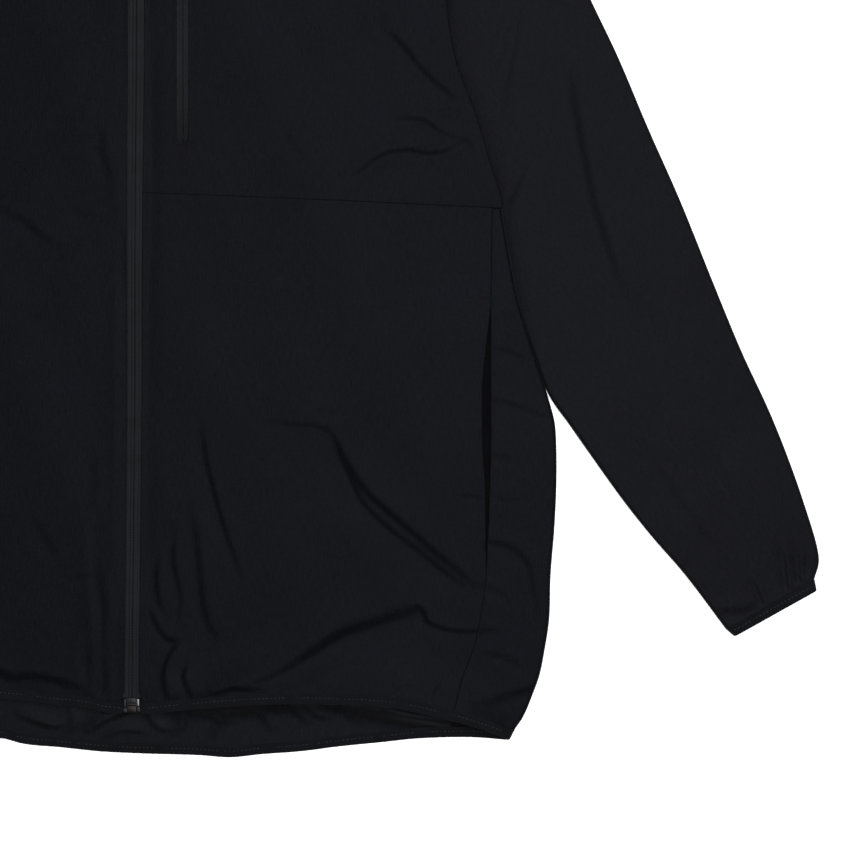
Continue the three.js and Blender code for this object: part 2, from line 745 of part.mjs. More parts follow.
// One body from overlapping closed geometries.
function joined(geometries) {
  const solids = geometries.map((geometry) => {
    const bare = geometry.index ? geometry.toNonIndexed() : geometry;
    bare.deleteAttribute('normal');
    bare.deleteAttribute('uv');
    const merged = mergeVertices(bare, WELD);
    const vertProperties = new Float32Array(merged.attributes.position.array);
    const triVerts = new Uint32Array(merged.index.array);
    return new wasm.Manifold(new wasm.Mesh({ numProp: 3, vertProperties, triVerts }));
  });
  const { vertProperties, triVerts } = solids.reduce((whole, next) => whole.add(next)).getMesh();
  const geometry = new THREE.BufferGeometry();
  geometry.setAttribute('position', new THREE.BufferAttribute(vertProperties, 3));
  geometry.setIndex(new THREE.BufferAttribute(triVerts, 1));
  geometry.computeVertexNormals();
  return geometry;
}

function block(halfWidth, [yLow, yHigh], [zLow, zHigh]) {
  const geometry = new THREE.BoxGeometry(2 * halfWidth, yHigh - yLow, zHigh - zLow);
  return geometry.translate(0, (yLow + yHigh) / 2, (zLow + zHigh) / 2);
}

// Plates over and under the tapes, a post between them and an arch that holds the pull tab.
function sliderGeometry(scale) {
  const { halfWidth, length, plate, sink, postHalfWidth, postStart, postEnd } = SLIDER;
  const { archHalfWidth, archFoot, archInside, archUnderside, archThickness, pivotY } = SLIDER;
  const over = [SEAM, SEAM + plate];
  const under = [-TAPE_THICKNESS - SEAM - plate, -TAPE_THICKNESS - SEAM];
  const archEnds = [pivotY - archInside / 2 - archFoot, pivotY + archInside / 2 + archFoot];
  const foot = [over[1] - sink, archUnderside + sink];
  const scaleY = ([low, high]) => [low * scale, high * scale];
  return joined([
    block(halfWidth * scale, scaleY([0, length]), over),
    block(halfWidth * scale, scaleY([0, length]), under),
    block(postHalfWidth, scaleY([postStart, postEnd]), [under[1] - sink, over[0] + sink]),
    block(archHalfWidth, [archEnds[0], archEnds[0] + archFoot], foot),
    block(archHalfWidth, [archEnds[1] - archFoot, archEnds[1]], foot),
    block(archHalfWidth, archEnds, [archUnderside, archUnderside + archThickness]),
  ]);
}

// A flat tab whose eye goes round the slider's arch. It lies towards -Y from its bar at the origin.
function pullGeometry(scale) {
  const { bar, halfWidth, eyeHalfWidth, eyeLength, length, tipHalfWidth } = PULL;
  const outline = new THREE.Shape();
  const tip = -length * scale;
  outline.moveTo(-halfWidth, bar / 2);
  outline.lineTo(-tipHalfWidth, tip + tipHalfWidth);
  outline.absarc(0, tip + tipHalfWidth, tipHalfWidth, Math.PI, 2 * Math.PI, false);
  outline.lineTo(halfWidth, bar / 2);
  outline.closePath();
  const eye = new THREE.Path();
  eye.moveTo(-eyeHalfWidth, -bar / 2);
  eye.lineTo(eyeHalfWidth, -bar / 2);
  eye.lineTo(eyeHalfWidth, -bar / 2 - eyeLength);
  eye.lineTo(-eyeHalfWidth, -bar / 2 - eyeLength);
  eye.closePath();
  outline.holes.push(eye);
  const options = { depth: bar, bevelEnabled: false, curveSegments: PULL_TIP_SEGMENTS };
  return new THREE.ExtrudeGeometry(outline, options).translate(0, 0, -bar / 2);
}

function addSliderAndPull(name, { x, y, scale }) {
  const slider = addPiece(`${name}_slider`, sliderGeometry(scale), 'metal');
  slider.position.set(x, y, TAPE_TOP_Z);
  const pull = addPiece(`${name}_pull`, pullGeometry(scale), 'metal');
  pull.position.set(x, y + SLIDER.pivotY, TAPE_TOP_Z + SLIDER.pivotZ);
}

function addMainZip() {
  const neckY = lookUp(NECK_FRONT, 0) + COLLAR_FRONT_HEIGHT[0][1];
  const parting = [MAIN_SLIDER_Y + SLIDER.partingStart, MAIN_SLIDER_Y + SLIDER.partingEnd];
  const wideGap = SLIDER.postHalfWidth + SEAM;
  const gap = (y) => mix(TAPE_HALF_GAP, wideGap, smooth((y - parting[0]) / (parting[1] - parting[0])));
  const bottom = BOX_BOTTOM_Y + BOX_SIZE.length + SEAM;
  const rows = [bottom, 140, 250, 360, 425, 530, 650, ...parting, neckY];
  [1, -1].forEach((side) => {
    const word = side > 0 ? 'left' : 'right';
    const shape = { side, line: zipX, gap, width: TAPE_WIDTH, rows, finish: 'tape' };
    addTape(`main_zip_tape_${word}`, shape);
    const { width, length, thickness } = ZIP_STOP;
    const stop = new THREE.BoxGeometry(width, length, thickness);
    const stopX = zipX(neckY) + side * (wideGap + width / 2);
    const stopY = MAIN_SLIDER_Y + SLIDER.length + SEAM + length / 2;
    stop.translate(stopX, stopY, TAPE_TOP_Z + SEAM + thickness / 2);
    addPiece(`main_zip_stop_${word}`, stop, 'metal');
  });
  addSliderAndPull('main_zip', { x: zipX(MAIN_SLIDER_Y), y: MAIN_SLIDER_Y, scale: 1 });
}

// The metal box at the foot of the main zip, with rounded corners and a small bevel.
function addZipBox() {
  const { width, length, thickness, underside, corner, bevel } = BOX_SIZE;
  const [halfWidth, halfLength] = [width / 2 - bevel, length / 2 - bevel];
  const outline = new THREE.Shape();
  const corners = [[1, -1], [1, 1], [-1, 1], [-1, -1]];
  corners.forEach(([across, up], k) => {
    const start = (k - 1) * Math.PI / 2;
    const centre = [across * (halfWidth - corner), up * (halfLength - corner)];
    outline.absarc(centre[0], centre[1], corner, start, start + Math.PI / 2, false);
  });
  outline.closePath();
  const options = {
    depth: thickness - 2 * bevel,
    bevelThickness: bevel,
    bevelSize: bevel,
    bevelSegments: 1,
    curveSegments: BOX_CORNER_SEGMENTS,
  };
  const geometry = new THREE.ExtrudeGeometry(outline, options);
  geometry.translate(zipX(BOX_BOTTOM_Y), BOX_BOTTOM_Y + length / 2, underside + bevel);
  addPiece('main_zip_box', geometry, 'metal');
}

function addChestZip() {
  const parting = CHEST_SLIDER_Y + SLIDER.postStart * CHEST_SLIDER_SCALE - SEAM;
  const start = CHEST_ZIP_BOTTOM - CHEST_TAPE_OVERLAP;
  const rows = [start, parting - CHEST_PARTING_LENGTH, parting, CHEST_ZIP_TOP + CHEST_TAPE_OVERLAP];
  const gap = (y) => (y < parting ? TAPE_HALF_GAP : SLIDER.postHalfWidth + SEAM);
  const line = () => CHEST_ZIP_X;
  [1, -1].forEach((side) => {
    const word = side > 0 ? 'left' : 'right';
    const shape = { side, line, gap, width: CHEST_TAPE_WIDTH, rows, finish: 'coatedTape' };
    addTape(`chest_zip_tape_${word}`, shape);
  });
  addSliderAndPull('chest_zip', { x: CHEST_ZIP_X, y: CHEST_SLIDER_Y, scale: CHEST_SLIDER_SCALE });
}

// --- The whole jacket ---

addBack();
addLeftChestPanel();
addLeftLowerFront();
addRightFront();
[1, -1].forEach((side) => {
  addSidePanel(side);
  addSleeve(side);
  addPocketCloth(side);
});
addCollar();
addHemBinding();
addMainZip();
addZipBox();
addChestZip();

const bounds = new THREE.Box3().setFromObject(jacket);
jacket.position.y = -(bounds.min.y + bounds.max.y) / 2;

export default jacket;
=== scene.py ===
import math
from collections import namedtuple

import bmesh
import bpy
import numpy as np
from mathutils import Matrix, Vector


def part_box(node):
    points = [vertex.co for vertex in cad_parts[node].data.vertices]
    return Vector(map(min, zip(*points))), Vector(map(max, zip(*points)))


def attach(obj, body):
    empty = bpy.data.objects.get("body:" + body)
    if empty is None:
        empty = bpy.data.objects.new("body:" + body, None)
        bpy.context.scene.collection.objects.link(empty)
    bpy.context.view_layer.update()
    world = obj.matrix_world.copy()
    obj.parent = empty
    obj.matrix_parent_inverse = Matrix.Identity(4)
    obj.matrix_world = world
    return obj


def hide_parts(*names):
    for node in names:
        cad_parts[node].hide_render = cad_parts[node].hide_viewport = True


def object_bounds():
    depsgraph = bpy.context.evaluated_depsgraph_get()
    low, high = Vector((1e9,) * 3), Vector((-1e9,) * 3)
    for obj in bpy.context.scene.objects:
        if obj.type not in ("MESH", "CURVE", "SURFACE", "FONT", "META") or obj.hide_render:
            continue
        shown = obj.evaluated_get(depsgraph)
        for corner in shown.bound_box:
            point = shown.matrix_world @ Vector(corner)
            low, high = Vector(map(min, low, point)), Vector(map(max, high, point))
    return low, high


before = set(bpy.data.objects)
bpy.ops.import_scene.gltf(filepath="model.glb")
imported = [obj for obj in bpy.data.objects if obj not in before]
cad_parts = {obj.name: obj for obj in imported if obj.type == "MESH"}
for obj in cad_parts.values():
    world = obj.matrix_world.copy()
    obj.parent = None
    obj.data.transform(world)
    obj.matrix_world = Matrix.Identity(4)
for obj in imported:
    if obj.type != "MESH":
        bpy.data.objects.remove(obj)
cad_low, cad_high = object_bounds()

# A softshell jacket lies flat and face up, zipped to the top of its stand collar. Metres, in the packed
# model's frame. Tables give garment places: x from the middle to the wearer's left, y up from the
# lowest point of the back hem, which is the model's lowest y.
HEM_Y = cad_low.y


# ======================================================================
# Back panel
# One piece of thin woven softshell, cut longer than the fronts. It lies on the table, the fronts lie
# over it, and it is sewn to them at the shoulders and to the side panels down both sides.
# ======================================================================

CLOTH = 0.0012
HEIGHT = 0.0058
SEAM = 0.0003
SEAM_LAP = 0.0001
BINDING_LAP = 0.0010
BINDING_WIDTH = 0.0075
SHOULDER_PINCH = 0.010
SHOULDER_PINCH_START = 0.014
NECK_GAP = 0.0001
NECK = (0.076, 0.758)
SHOULDER = (0.241, 0.705)
SEAM_TOP = 0.3835
ARMHOLE_FOOT = 0.3842
BACK_FOOT_Y = 0.024
EDGE_STEPS = np.array([0, 0.0001, 0.0003, 0.0006, 0.0011])
EDGE_RADIUS = 0.0004
EDGE_DRAW = 0.34
BACK_STEP = 0.0052
BACK_ACROSS_STEP = 0.0021
BACK_HEM_STEP = 0.0012
BACK_HEM_STRIP = 0.040

# Seam to the side panel, with the hand pocket's slot open on its front side: y, x, slot
POCKET_SEAM = [
    (0.0240, 0.2220, 0),
    (0.0380, 0.2256, 0),
    (0.0557, 0.2304, 0),
    (0.0718, 0.2368, 0),
    (0.0959, 0.2426, 0),
    (0.1246, 0.2466, 0),
    (0.1500, 0.2480, 0.0016),
    (0.1900, 0.2496, 0.0036),
    (0.2250, 0.2502, 0.0062),
    (0.2550, 0.2502, 0.0062),
    (0.2900, 0.2502, 0.0032),
    (0.3213, 0.2502, 0),
    (0.3500, 0.2506, 0),
    (0.3840, 0.2510, 0),
]

# Armhole seam, underarm to shoulder: y, x
ARMHOLE = [
    (0.3842, 0.2582),
    (0.3871, 0.2579),
    (0.4140, 0.2502),
    (0.4487, 0.2398),
    (0.4921, 0.2244),
    (0.5299, 0.2188),
    (0.5750, 0.2165),
    (0.6200, 0.2190),
    (0.6650, 0.2275),
    (0.7050, 0.2410),
]

# Lower edge of the back hem, wearer's right to left: x, y
BACK_HEM = [
    (-0.2636, 0.0111),
    (-0.2393, 0.0135),
    (-0.2000, 0.0140),
    (-0.1500, 0.0136),
    (-0.0935, 0.0123),
    (-0.0795, 0.0088),
    (-0.0515, 0.0060),
    (-0.0235, 0.0031),
    (0.0046, 0.0017),
    (0.0466, 0.0004),
    (0.0676, -0.0010),
    (0.0886, 0.0011),
    (0.1166, 0.0032),
    (0.1446, 0.0067),
    (0.1726, 0.0095),
    (0.2006, 0.0123),
    (0.2393, 0.0130),
    (0.2636, 0.0111),
]

# Neck seam behind, from the middle to the neck point: x, y
NECK_BACK = [
    (0.000, 0.7680),
    (0.020, 0.7678),
    (0.040, 0.7670),
    (0.058, 0.7645),
    (0.070, 0.7610),
    NECK,
]


def line(table, column=1):
    """A smooth line through a table's rows: gives its value at places of the first column."""
    rows = np.array(table, dtype=float)
    places, values = rows[:, 0], rows[:, column]
    climbs = np.abs(np.diff(values) / np.diff(places))
    steepest = 3 * np.minimum(np.append(climbs[:1], climbs), np.append(climbs, climbs[-1:]))
    slopes = np.clip(np.gradient(values, places), -steepest, steepest)

    def at(place):
        row = np.clip(np.searchsorted(places, place) - 1, 0, len(places) - 2)
        step = places[row + 1] - places[row]
        t = np.clip((place - places[row]) / step, 0, 1)
        low = (1 + 2 * t) * (1 - t) ** 2 * values[row] + t * (1 - t) ** 2 * step * slopes[row]
        high = t**2 * (3 - 2 * t) * values[row + 1] + t**2 * (t - 1) * step * slopes[row + 1]
        return low + high

    return at


def mix(a, b, share):
    return a + (b - a) * share


def joined(*coordinates):
    """Points from their coordinates: one array for x, one for y and, for places in space, one for z."""
    return np.stack(np.broadcast_arrays(*coordinates), axis=-1)


def smooth(share):
    t = np.clip(share, 0, 1)
    return t * t * (3 - 2 * t)


# A crease: how much lower the cloth lies on its right than on its left, half the width of the steep
# flank between them, how far each side takes to come level again, and its path of x, y and the share
# of its depth there.
Crease = namedtuple("Crease", "depth flank reach path")
PATH_STEP = 0.0015
CREASE_LIFT = 0.35
RELIEF_REACH = 2.2


def smooth_path(path):
    points = np.array(path, dtype=float)
    spans = np.hypot(*np.diff(points[:, :2], axis=0).T)
    run = np.concatenate([[0], np.cumsum(spans)])
    places = np.linspace(0, run[-1], max(int(run[-1] / PATH_STEP), 3))
    columns = [line(np.column_stack([run, column]))(places) for column in points.T]
    return np.stack(columns, axis=-1)


def relief(x, y, creases, lift=CREASE_LIFT):
    """Height that creases add at plan points. lift is the share of each that stands up on its left."""
    height = np.zeros(x.shape)
    for crease in creases:
        path = smooth_path(crease.path)
        low = path[:, :2].min(axis=0) - RELIEF_REACH * crease.reach
        high = path[:, :2].max(axis=0) + RELIEF_REACH * crease.reach
        near = (x > low[0]) & (x < high[0]) & (y > low[1]) & (y < high[1])
        if not near.any():
            continue
        away = joined(x[near], y[near])[:, None] - path[None, :, :2]
        nearest = (away**2).sum(axis=-1).argmin(axis=1)
        gap = away[np.arange(len(nearest)), nearest]
        change = np.gradient(path, axis=0)
        change /= np.linalg.norm(change[:, :2], axis=1)[:, None]
        way = change[nearest]
        aside = way[:, 0] * gap[:, 1] - way[:, 1] * gap[:, 0]
        along = way[:, 0] * gap[:, 0] + way[:, 1] * gap[:, 1]
        share = np.clip(path[nearest, 2] + way[:, 2] * along, 0, None)
        past = np.where(nearest == 0, -along, np.where(nearest == len(path) - 1, along, 0))
        end = np.exp(-((np.clip(past, 0, None) / crease.flank) ** 2))
        lower = (1 - np.tanh(aside / crease.flank)) / 2
        spread = np.exp(-((aside / crease.reach) ** 2))
        height[near] += crease.depth * share * end * spread * (lift - lower)
    return height


# Slow swells of cloth that is laid out by hand: height, waves per metre along x and y, phase
SWELLS = [
    (0.00030, 7.1, 3.2, 0.4),
    (0.00024, -4.3, 9.7, 1.9),
    (0.00016, 15.5, 6.8, 4.2),
    (0.00007, -11.9, 17.3, 2.7),
    (0.00002, 31.0, -22.0, 0.9),
]


def swells(x, y):
    height = 0
    for rise, across, along, phase in SWELLS:
        height = height + rise * np.sin(2 * math.pi * (x * across + y * along) + phase)
    return height


def shoulder_pinch(x, y):
    """1 along the shoulder seam, where front and back are drawn together, and 0 away from it."""
    slope = (SHOULDER[1] - NECK[1]) / (SHOULDER[0] - NECK[0])
    below = NECK[1] + (np.abs(x) - NECK[0]) * slope - y
    along = smooth((np.abs(x) - NECK[0]) / SHOULDER_PINCH_START)
    return along * smooth(1 - below / SHOULDER_PINCH)


# Ridges of the back, seen on its inside below the front hem and outside from beneath
BACK_CREASES = [
    # Heaped up under the front hem by the elastic
    Crease(0.0078, 0.0042, 0.013, [
        (0.020, 0.0310, 0), (0.044, 0.0310, 0.7), (0.064, 0.0320, 0.9), (0.080, 0.0325, 0.9),
        (0.100, 0.0340, 0.6), (0.122, 0.0335, 0.3), (0.146, 0.0330, 0.5), (0.166, 0.0295, 0.9),
        (0.190, 0.0255, 1), (0.214, 0.0230, 0.9), (0.238, 0.0190, 0),
    ]),
    Crease(0.0026, 0.0010, 0.007, [
        (-0.035, 0.014, 0), (-0.024, 0.022, 1), (-0.006, 0.030, 0.9), (0.022, 0.034, 0),
    ]),
    Crease(0.0024, 0.0009, 0.006, [(0.068, 0.044, 0.6), (0.060, 0.030, 1), (0.051, 0.014, 0)]),
    Crease(0.0022, 0.0009, 0.006, [(0.082, 0.044, 0.6), (0.088, 0.030, 1), (0.097, 0.015, 0)]),
    Crease(0.0022, 0.0010, 0.006, [(0.104, 0.044, 0.5), (0.111, 0.033, 1), (0.124, 0.020, 0)]),
    Crease(0.0020, 0.0010, 0.006, [
        (-0.085, 0.030, 0), (-0.070, 0.024, 1), (-0.052, 0.021, 0.7), (-0.046, 0.030, 0),
    ]),
    Crease(0.0018, 0.0009, 0.005, [(-0.048, 0.012, 0), (-0.040, 0.024, 1), (-0.044, 0.040, 0)]),
    Crease(0.0020, 0.0009, 0.006, [(0.030, 0.012, 0), (0.036, 0.024, 1), (0.032, 0.044, 0.2)]),
    Crease(0.0018, 0.0010, 0.006, [(0.140, 0.044, 0.4), (0.148, 0.032, 1), (0.160, 0.021, 0)]),
    Crease(0.0016, 0.0009, 0.005, [
        (0.005, 0.040, 0.6), (0.009, 0.029, 1), (0.017, 0.019, 0.8), (0.030, 0.017, 0),
    ]),
    Crease(0.0016, 0.0008, 0.005, [
        (0.044, 0.040, 0.6), (0.048, 0.032, 1), (0.058, 0.025, 0.7), (0.075, 0.023, 0),
    ]),
    Crease(0.0014, 0.0008, 0.005, [(0.117, 0.040, 0.6), (0.125, 0.029, 1), (0.140, 0.025, 0)]),
    Crease(0.0015, 0.0009, 0.005, [(-0.023, 0.011, 0), (-0.009, 0.017, 1), (0.012, 0.015, 0)]),
    Crease(0.0018, 0.0012, 0.007, [
        (0.167, 0.038, 0.6), (0.185, 0.029, 1), (0.208, 0.023, 1), (0.230, 0.019, 0.4),
    ]),
    Crease(0.0012, 0.0012, 0.008, [(-0.130, 0.036, 0), (-0.120, 0.027, 1), (-0.104, 0.022, 0)]),
    Crease(0.0012, 0.0012, 0.008, [(-0.190, 0.038, 0), (-0.178, 0.030, 1), (-0.170, 0.018, 0)]),
    Crease(0.0012, 0.0022, 0.014, [
        (-0.150, 0.080, 0), (-0.100, 0.118, 1), (-0.030, 0.140, 0.8), (0.010, 0.136, 0),
    ]),
    Crease(0.0012, 0.0022, 0.014, [
        (0.190, 0.090, 0), (0.140, 0.140, 1), (0.080, 0.165, 0.7), (0.040, 0.160, 0),
    ]),
    Crease(0.0011, 0.0020, 0.012, [(-0.200, 0.360, 0), (-0.140, 0.330, 1), (-0.080, 0.325, 0)]),
    Crease(0.0011, 0.0020, 0.012, [(0.206, 0.380, 0), (0.150, 0.340, 1), (0.092, 0.330, 0)]),
    Crease(0.0011, 0.0024, 0.014, [(-0.020, 0.420, 0), (0.010, 0.500, 1), (0.004, 0.600, 0)]),
    Crease(0.0011, 0.0024, 0.014, [(-0.120, 0.520, 0), (-0.090, 0.580, 1), (-0.094, 0.650, 0)]),
]


def back_under(x, y):
    """Height of the back's outside over the table: flat, but for its ridges."""
    flat = relief(x, y, BACK_CREASES, lift=1)
    return mix(flat, HEIGHT / 2 - SEAM / 2 - CLOTH, shoulder_pinch(x, y))


pocket_seam = line(POCKET_SEAM)
armhole = line(ARMHOLE)
back_hem_edge = line(BACK_HEM)
neck_back = line(NECK_BACK)


def back_hem(x):
    return back_hem_edge(x) + BINDING_WIDTH - BINDING_LAP


def shoulder_line(neck):
    """Upper edge of a panel: the neck seam to the neck point, then the shoulder seam."""

    def height(x):
        across = np.abs(x)
        slope = (across - NECK[0]) / (SHOULDER[0] - NECK[0])
        shoulder = mix(NECK[1], SHOULDER[1], slope)
        return np.where(across < NECK[0], neck(across), shoulder)

    return height


def body_edge(y):
    """Side edge of the back: up the side seam, a step out to the underarm, up the armhole."""
    return np.where(y < mix(SEAM_TOP, ARMHOLE_FOOT, 0.5), pocket_seam(y), armhole(y)) + SEAM_LAP


def steps(length, step, start=True, end=True):
    """Shares from 0 to 1 along a length, with short ones beside its ends to round them off."""
    head = EDGE_STEPS if start else EDGE_STEPS[:1]
    tail = length - (EDGE_STEPS if end else EDGE_STEPS[:1])[::-1]
    between = np.linspace(head[-1], tail[0], max(int((tail[0] - head[-1]) / step), 2) + 1)
    return np.concatenate([head[:-1], between, tail[1:]]) / length


def across_x(start, end, height):
    """An edge that runs along x, at a height for each x."""

    def points(share):
        x = mix(start, end, share)
        return joined(x, height(x))

    return points


def along_y(start, end, place):
    """An edge that runs along y, at an x for each y."""

    def points(share):
        y = mix(start, end, share)
        return joined(place(y), y)

    return points


def panel(bottom, top, left, right, across, up):
    """Plan points, by row and column, of the cut panel between four edges."""
    u, v = across[None, :, None], up[:, None, None]
    low, high = bottom(across)[None], top(across)[None]
    near, far = left(up)[:, None], right(up)[:, None]
    corners = mix(mix(low[:, :1], low[:, -1:], u), mix(high[:, :1], high[:, -1:], u), v)
    return mix(low, high, v) + mix(near, far, u) - corners


def edge_distances(plan):
    """How far each plan point lies from the panel's bottom, top, left and right edge."""
    edges = plan[:1], plan[-1:], plan[:, :1], plan[:, -1:]
    return [np.linalg.norm(plan - edge, axis=-1) for edge in edges]


def rounding(distance, thickness=CLOTH):
    """How far each face of a wall draws in beside its cut or folded edge."""
    t = np.clip(1 - distance / EDGE_RADIUS, 0, 1)
    return EDGE_DRAW * thickness * (1 - np.sqrt(1 - t * t))


def layer(plan, height, distance, thickness=CLOTH, up=1):
    """Outer and inner face of one flat layer. up is 1 where its outside looks up, and -1 on the back."""
    x, y = plan[..., 0], plan[..., 1]
    draw = rounding(distance, thickness)
    outer = joined(x, y, height - up * draw)
    inner = joined(x, y, height - up * (thickness - draw))
    return outer, inner


def wall(name, outer, inner, ring=False, opened=None):
    """A cloth wall as a mesh object: two faces, by row and column, joined along every free edge."""
    rows, columns = outer.shape[:2]
    number = np.arange(rows * columns).reshape(rows, columns)
    if ring:
        number = np.hstack([number, number[:, :1]])
    corners = joined(number[:-1, :-1], number[:-1, 1:], number[1:, 1:], number[1:, :-1])
    there = np.ones(corners.shape[:2], bool) if opened is None else ~opened
    within = np.pad(np.pad(there, ((1, 1), (0, 0))), ((0, 0), (1, 1)), mode="wrap" if ring else "constant")
    beside = within[:-2, 1:-1], within[1:-1, 2:], within[2:, 1:-1], within[1:-1, :-2]
    below = rows * columns
    faces = [corners[there], corners[there][:, ::-1] + below]
    for side, neighbour in enumerate(beside):
        free = there & ~neighbour
        start, end = corners[free][:, side], corners[free][:, (side + 1) % 4]
        faces.append(joined(end, start, start + below, end + below))
    faces = np.concatenate(faces)
    points = np.concatenate([outer.reshape(-1, 3), inner.reshape(-1, 3)])
    used, faces = np.unique(faces, return_inverse=True)
    return mesh_object(name, points[used], faces.reshape(-1, 4))


def new_object(name, data, place=(0, 0, 0)):
    """An object in the scene with this mesh, light or camera."""
    made = bpy.data.objects.new(name, data)
    made.location = place
    bpy.context.scene.collection.objects.link(made)
    return made


def mesh_object(name, points, faces):
    """A smooth-shaded mesh object from garment points and faces, with its faces turned outwards."""
    a, b, c, d = (points[faces[:, k]] for k in range(4))
    if (np.cross(c - a, d - b) * (a + b + c + d)).sum() < 0:
        faces = faces[:, ::-1]
    mesh = bpy.data.meshes.new(name)
    mesh.from_pydata((points + [0, HEM_Y, 0]).tolist(), [], faces.tolist())
    mesh.shade_smooth()
    mesh.set_sharp_from_angle(angle=math.radians(60))
    return new_object(name, mesh)


class Shade:
    """A value or colour in a material's nodes. Arithmetic on values adds Math nodes."""

    def __init__(self, tree, socket):
        self.tree = tree
        self.socket = socket

    def node(self, kind, settings, inputs, output=0):
        """Adds a node, gives it its settings, then its sockets' values or links, and returns an output."""
        made = self.tree.nodes.new(kind)
        for name, value in settings.items():
            setattr(made, name, value)
        for name, value in inputs.items():
            if isinstance(value, Shade):
                self.tree.links.new(value.socket, made.inputs[name])
            else:
                made.inputs[name].default_value = value
        return Shade(self.tree, made.outputs[output])

    def math(self, operation, a, b=0.0):
        return self.node("ShaderNodeMath", {"operation": operation}, {0: a, 1: b})

    def __add__(self, other):
        return self.math("ADD", self, other)

    def __sub__(self, other):
        return self.math("SUBTRACT", self, other)

    def __mul__(self, other):
        return self.math("MULTIPLY", self, other)

    def clamped(self):
        return self.math("MAXIMUM", self.math("MINIMUM", self, 1.0), 0.0)

    def wave(self, period):
        """A sine wave from -1 to 1 along this value, in metres."""
        return self.math("SINE", self * (2 * math.pi / period))

    def spread(self, scale):
        """This point with its coordinates multiplied, to stretch a pattern."""
        return self.node("ShaderNodeVectorMath", {"operation": "MULTIPLY"}, {0: self, 1: scale})

    def noise(self, scale, detail=2.0):
        inputs = {"Vector": self, "Scale": scale, "Detail": detail}
        value = "Factor" if bpy.app.version >= (5, 0, 0) else "Fac"
        return self.node("ShaderNodeTexNoise", {}, inputs, value)

    def bump(self, strength, distance):
        """A normal for a surface on which this value is a height."""
        inputs = {"Strength": strength, "Distance": distance, "Height": self}
        return self.node("ShaderNodeBump", {}, inputs)

    def blend(self, low, high):
        """The colour between two others at this value."""
        return self.node("ShaderNodeMix", {"data_type": "RGBA"}, {0: self, 6: low, 7: high}, 2)


def new_finish(name, uniform):
    """A material, the place on the object that its patterns start from, and its surface shader."""
    material = bpy.data.materials.new(name)
    material.use_nodes = True
    tree = material.node_tree
    surface = tree.nodes["Principled BSDF"]
    for socket, value in uniform.items():
        surface.inputs[socket].default_value = value
    place = Shade(tree, None).node("ShaderNodeTexCoord", {}, {}, "Object")
    return material, place, surface


def connect(surface, **shades):
    for name, shade in shades.items():
        surface.id_data.links.new(shade.socket, surface.inputs[name.replace("_", " ")])


def turned(place, angle):
    """Coordinates turned about Z, as x and y across and along the cloth's grain."""
    settings = {"vector_type": "POINT"}
    grain = place.node("ShaderNodeMapping", settings, {"Vector": place, "Rotation": (0, 0, angle)})
    x = grain.node("ShaderNodeSeparateXYZ", {}, {"Vector": grain}, "X")
    y = grain.node("ShaderNodeSeparateXYZ", {}, {"Vector": grain}, "Y")
    return grain, x, y


# Tones of the shell: cool, warm and deep
BODY_TONES = (0.0026, 0.0029, 0.0046, 1), (0.0034, 0.0032, 0.0042, 1), (0.0010, 0.0011, 0.0020, 1)
INSIDE_TONES = (0.0042, 0.0045, 0.0060, 1), (0.0051, 0.0049, 0.0061, 1), (0.0021, 0.0022, 0.0030, 1)
THREAD_PITCH = 0.00042
SHELL_SURFACE = {
    "Roughness": 0.58,
    "Specular IOR Level": 0.029,
    "Specular Tint": (0.84, 0.88, 1.0, 1),
    "Sheen Weight": 0.03,
    "Sheen Roughness": 0.45,
}


def shell_finish(name, grain_angle, tones):
    """Plain-woven matte shell: fine threads, faint slubs along the warp, slow cool and warm shifts."""
    material, place, surface = new_finish(name, SHELL_SURFACE)
    grain, x, y = turned(place, grain_angle)
    weave = x.wave(2 * THREAD_PITCH) * y.wave(2 * THREAD_PITCH)
    slub = grain.spread((1400, 120, 1)).noise(1.0)
    speckle = place.noise(620.0, 3.0)
    drift = place.noise(14.0, 3.0)
    cool, warm, deep = tones
    tone = drift.blend(cool, warm)
    color = (slub * 1.6 + speckle * 1.4 - 1.0).blend(deep, tone)
    height = weave * 0.3 + slub + speckle * 0.8
    rough = drift * 0.08 + 0.45
    connect(surface, Base_Color=color, Roughness=rough, Normal=height.bump(0.38, 0.00022))
    return material


body_shell = shell_finish("shell_cloth_body", 0, BODY_TONES)
inside_shell = shell_finish("shell_cloth_inside", 0.06, INSIDE_TONES)

back_edge_foot = float(body_edge(np.array(BACK_FOOT_Y)))
shoulder_edge = float(armhole(np.array(SHOULDER[1]))) + SEAM_LAP
back_top = shoulder_line(neck_back)
back_start, back_end = float(back_hem(back_edge_foot)), float(back_top(shoulder_edge))
back_lengths = SEAM_TOP - back_start, back_end - ARMHOLE_FOOT
back_rows = np.concatenate([
    back_start + BACK_HEM_STRIP * steps(BACK_HEM_STRIP, BACK_HEM_STEP, end=False)[:-1],
    np.linspace(back_start + BACK_HEM_STRIP, SEAM_TOP, int((back_lengths[0] - BACK_HEM_STRIP) / BACK_STEP)),
    ARMHOLE_FOOT + back_lengths[1] * steps(back_lengths[1], BACK_STEP, start=False),
])
back_plan = panel(
    bottom=across_x(-back_edge_foot, back_edge_foot, back_hem),
    top=across_x(-shoulder_edge, shoulder_edge, back_top),
    left=along_y(back_start, back_end, lambda y: -body_edge(y)),
    right=along_y(back_start, back_end, body_edge),
    across=steps(2 * back_edge_foot, BACK_ACROSS_STEP),
    up=(back_rows - back_start) / (back_end - back_start),
)
back_height = back_under(back_plan[..., 0], back_plan[..., 1])
back_faces = layer(back_plan, back_height, np.min(edge_distances(back_plan), axis=0), up=-1)
back = wall("back_cloth", *back_faces)
back.data.materials.append(body_shell)
back.data.materials.append(inside_shell)
for face in back.data.polygons:
    face.material_index = int(face.normal.z > 0.5)
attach(back, "jacket")
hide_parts("back_panel")


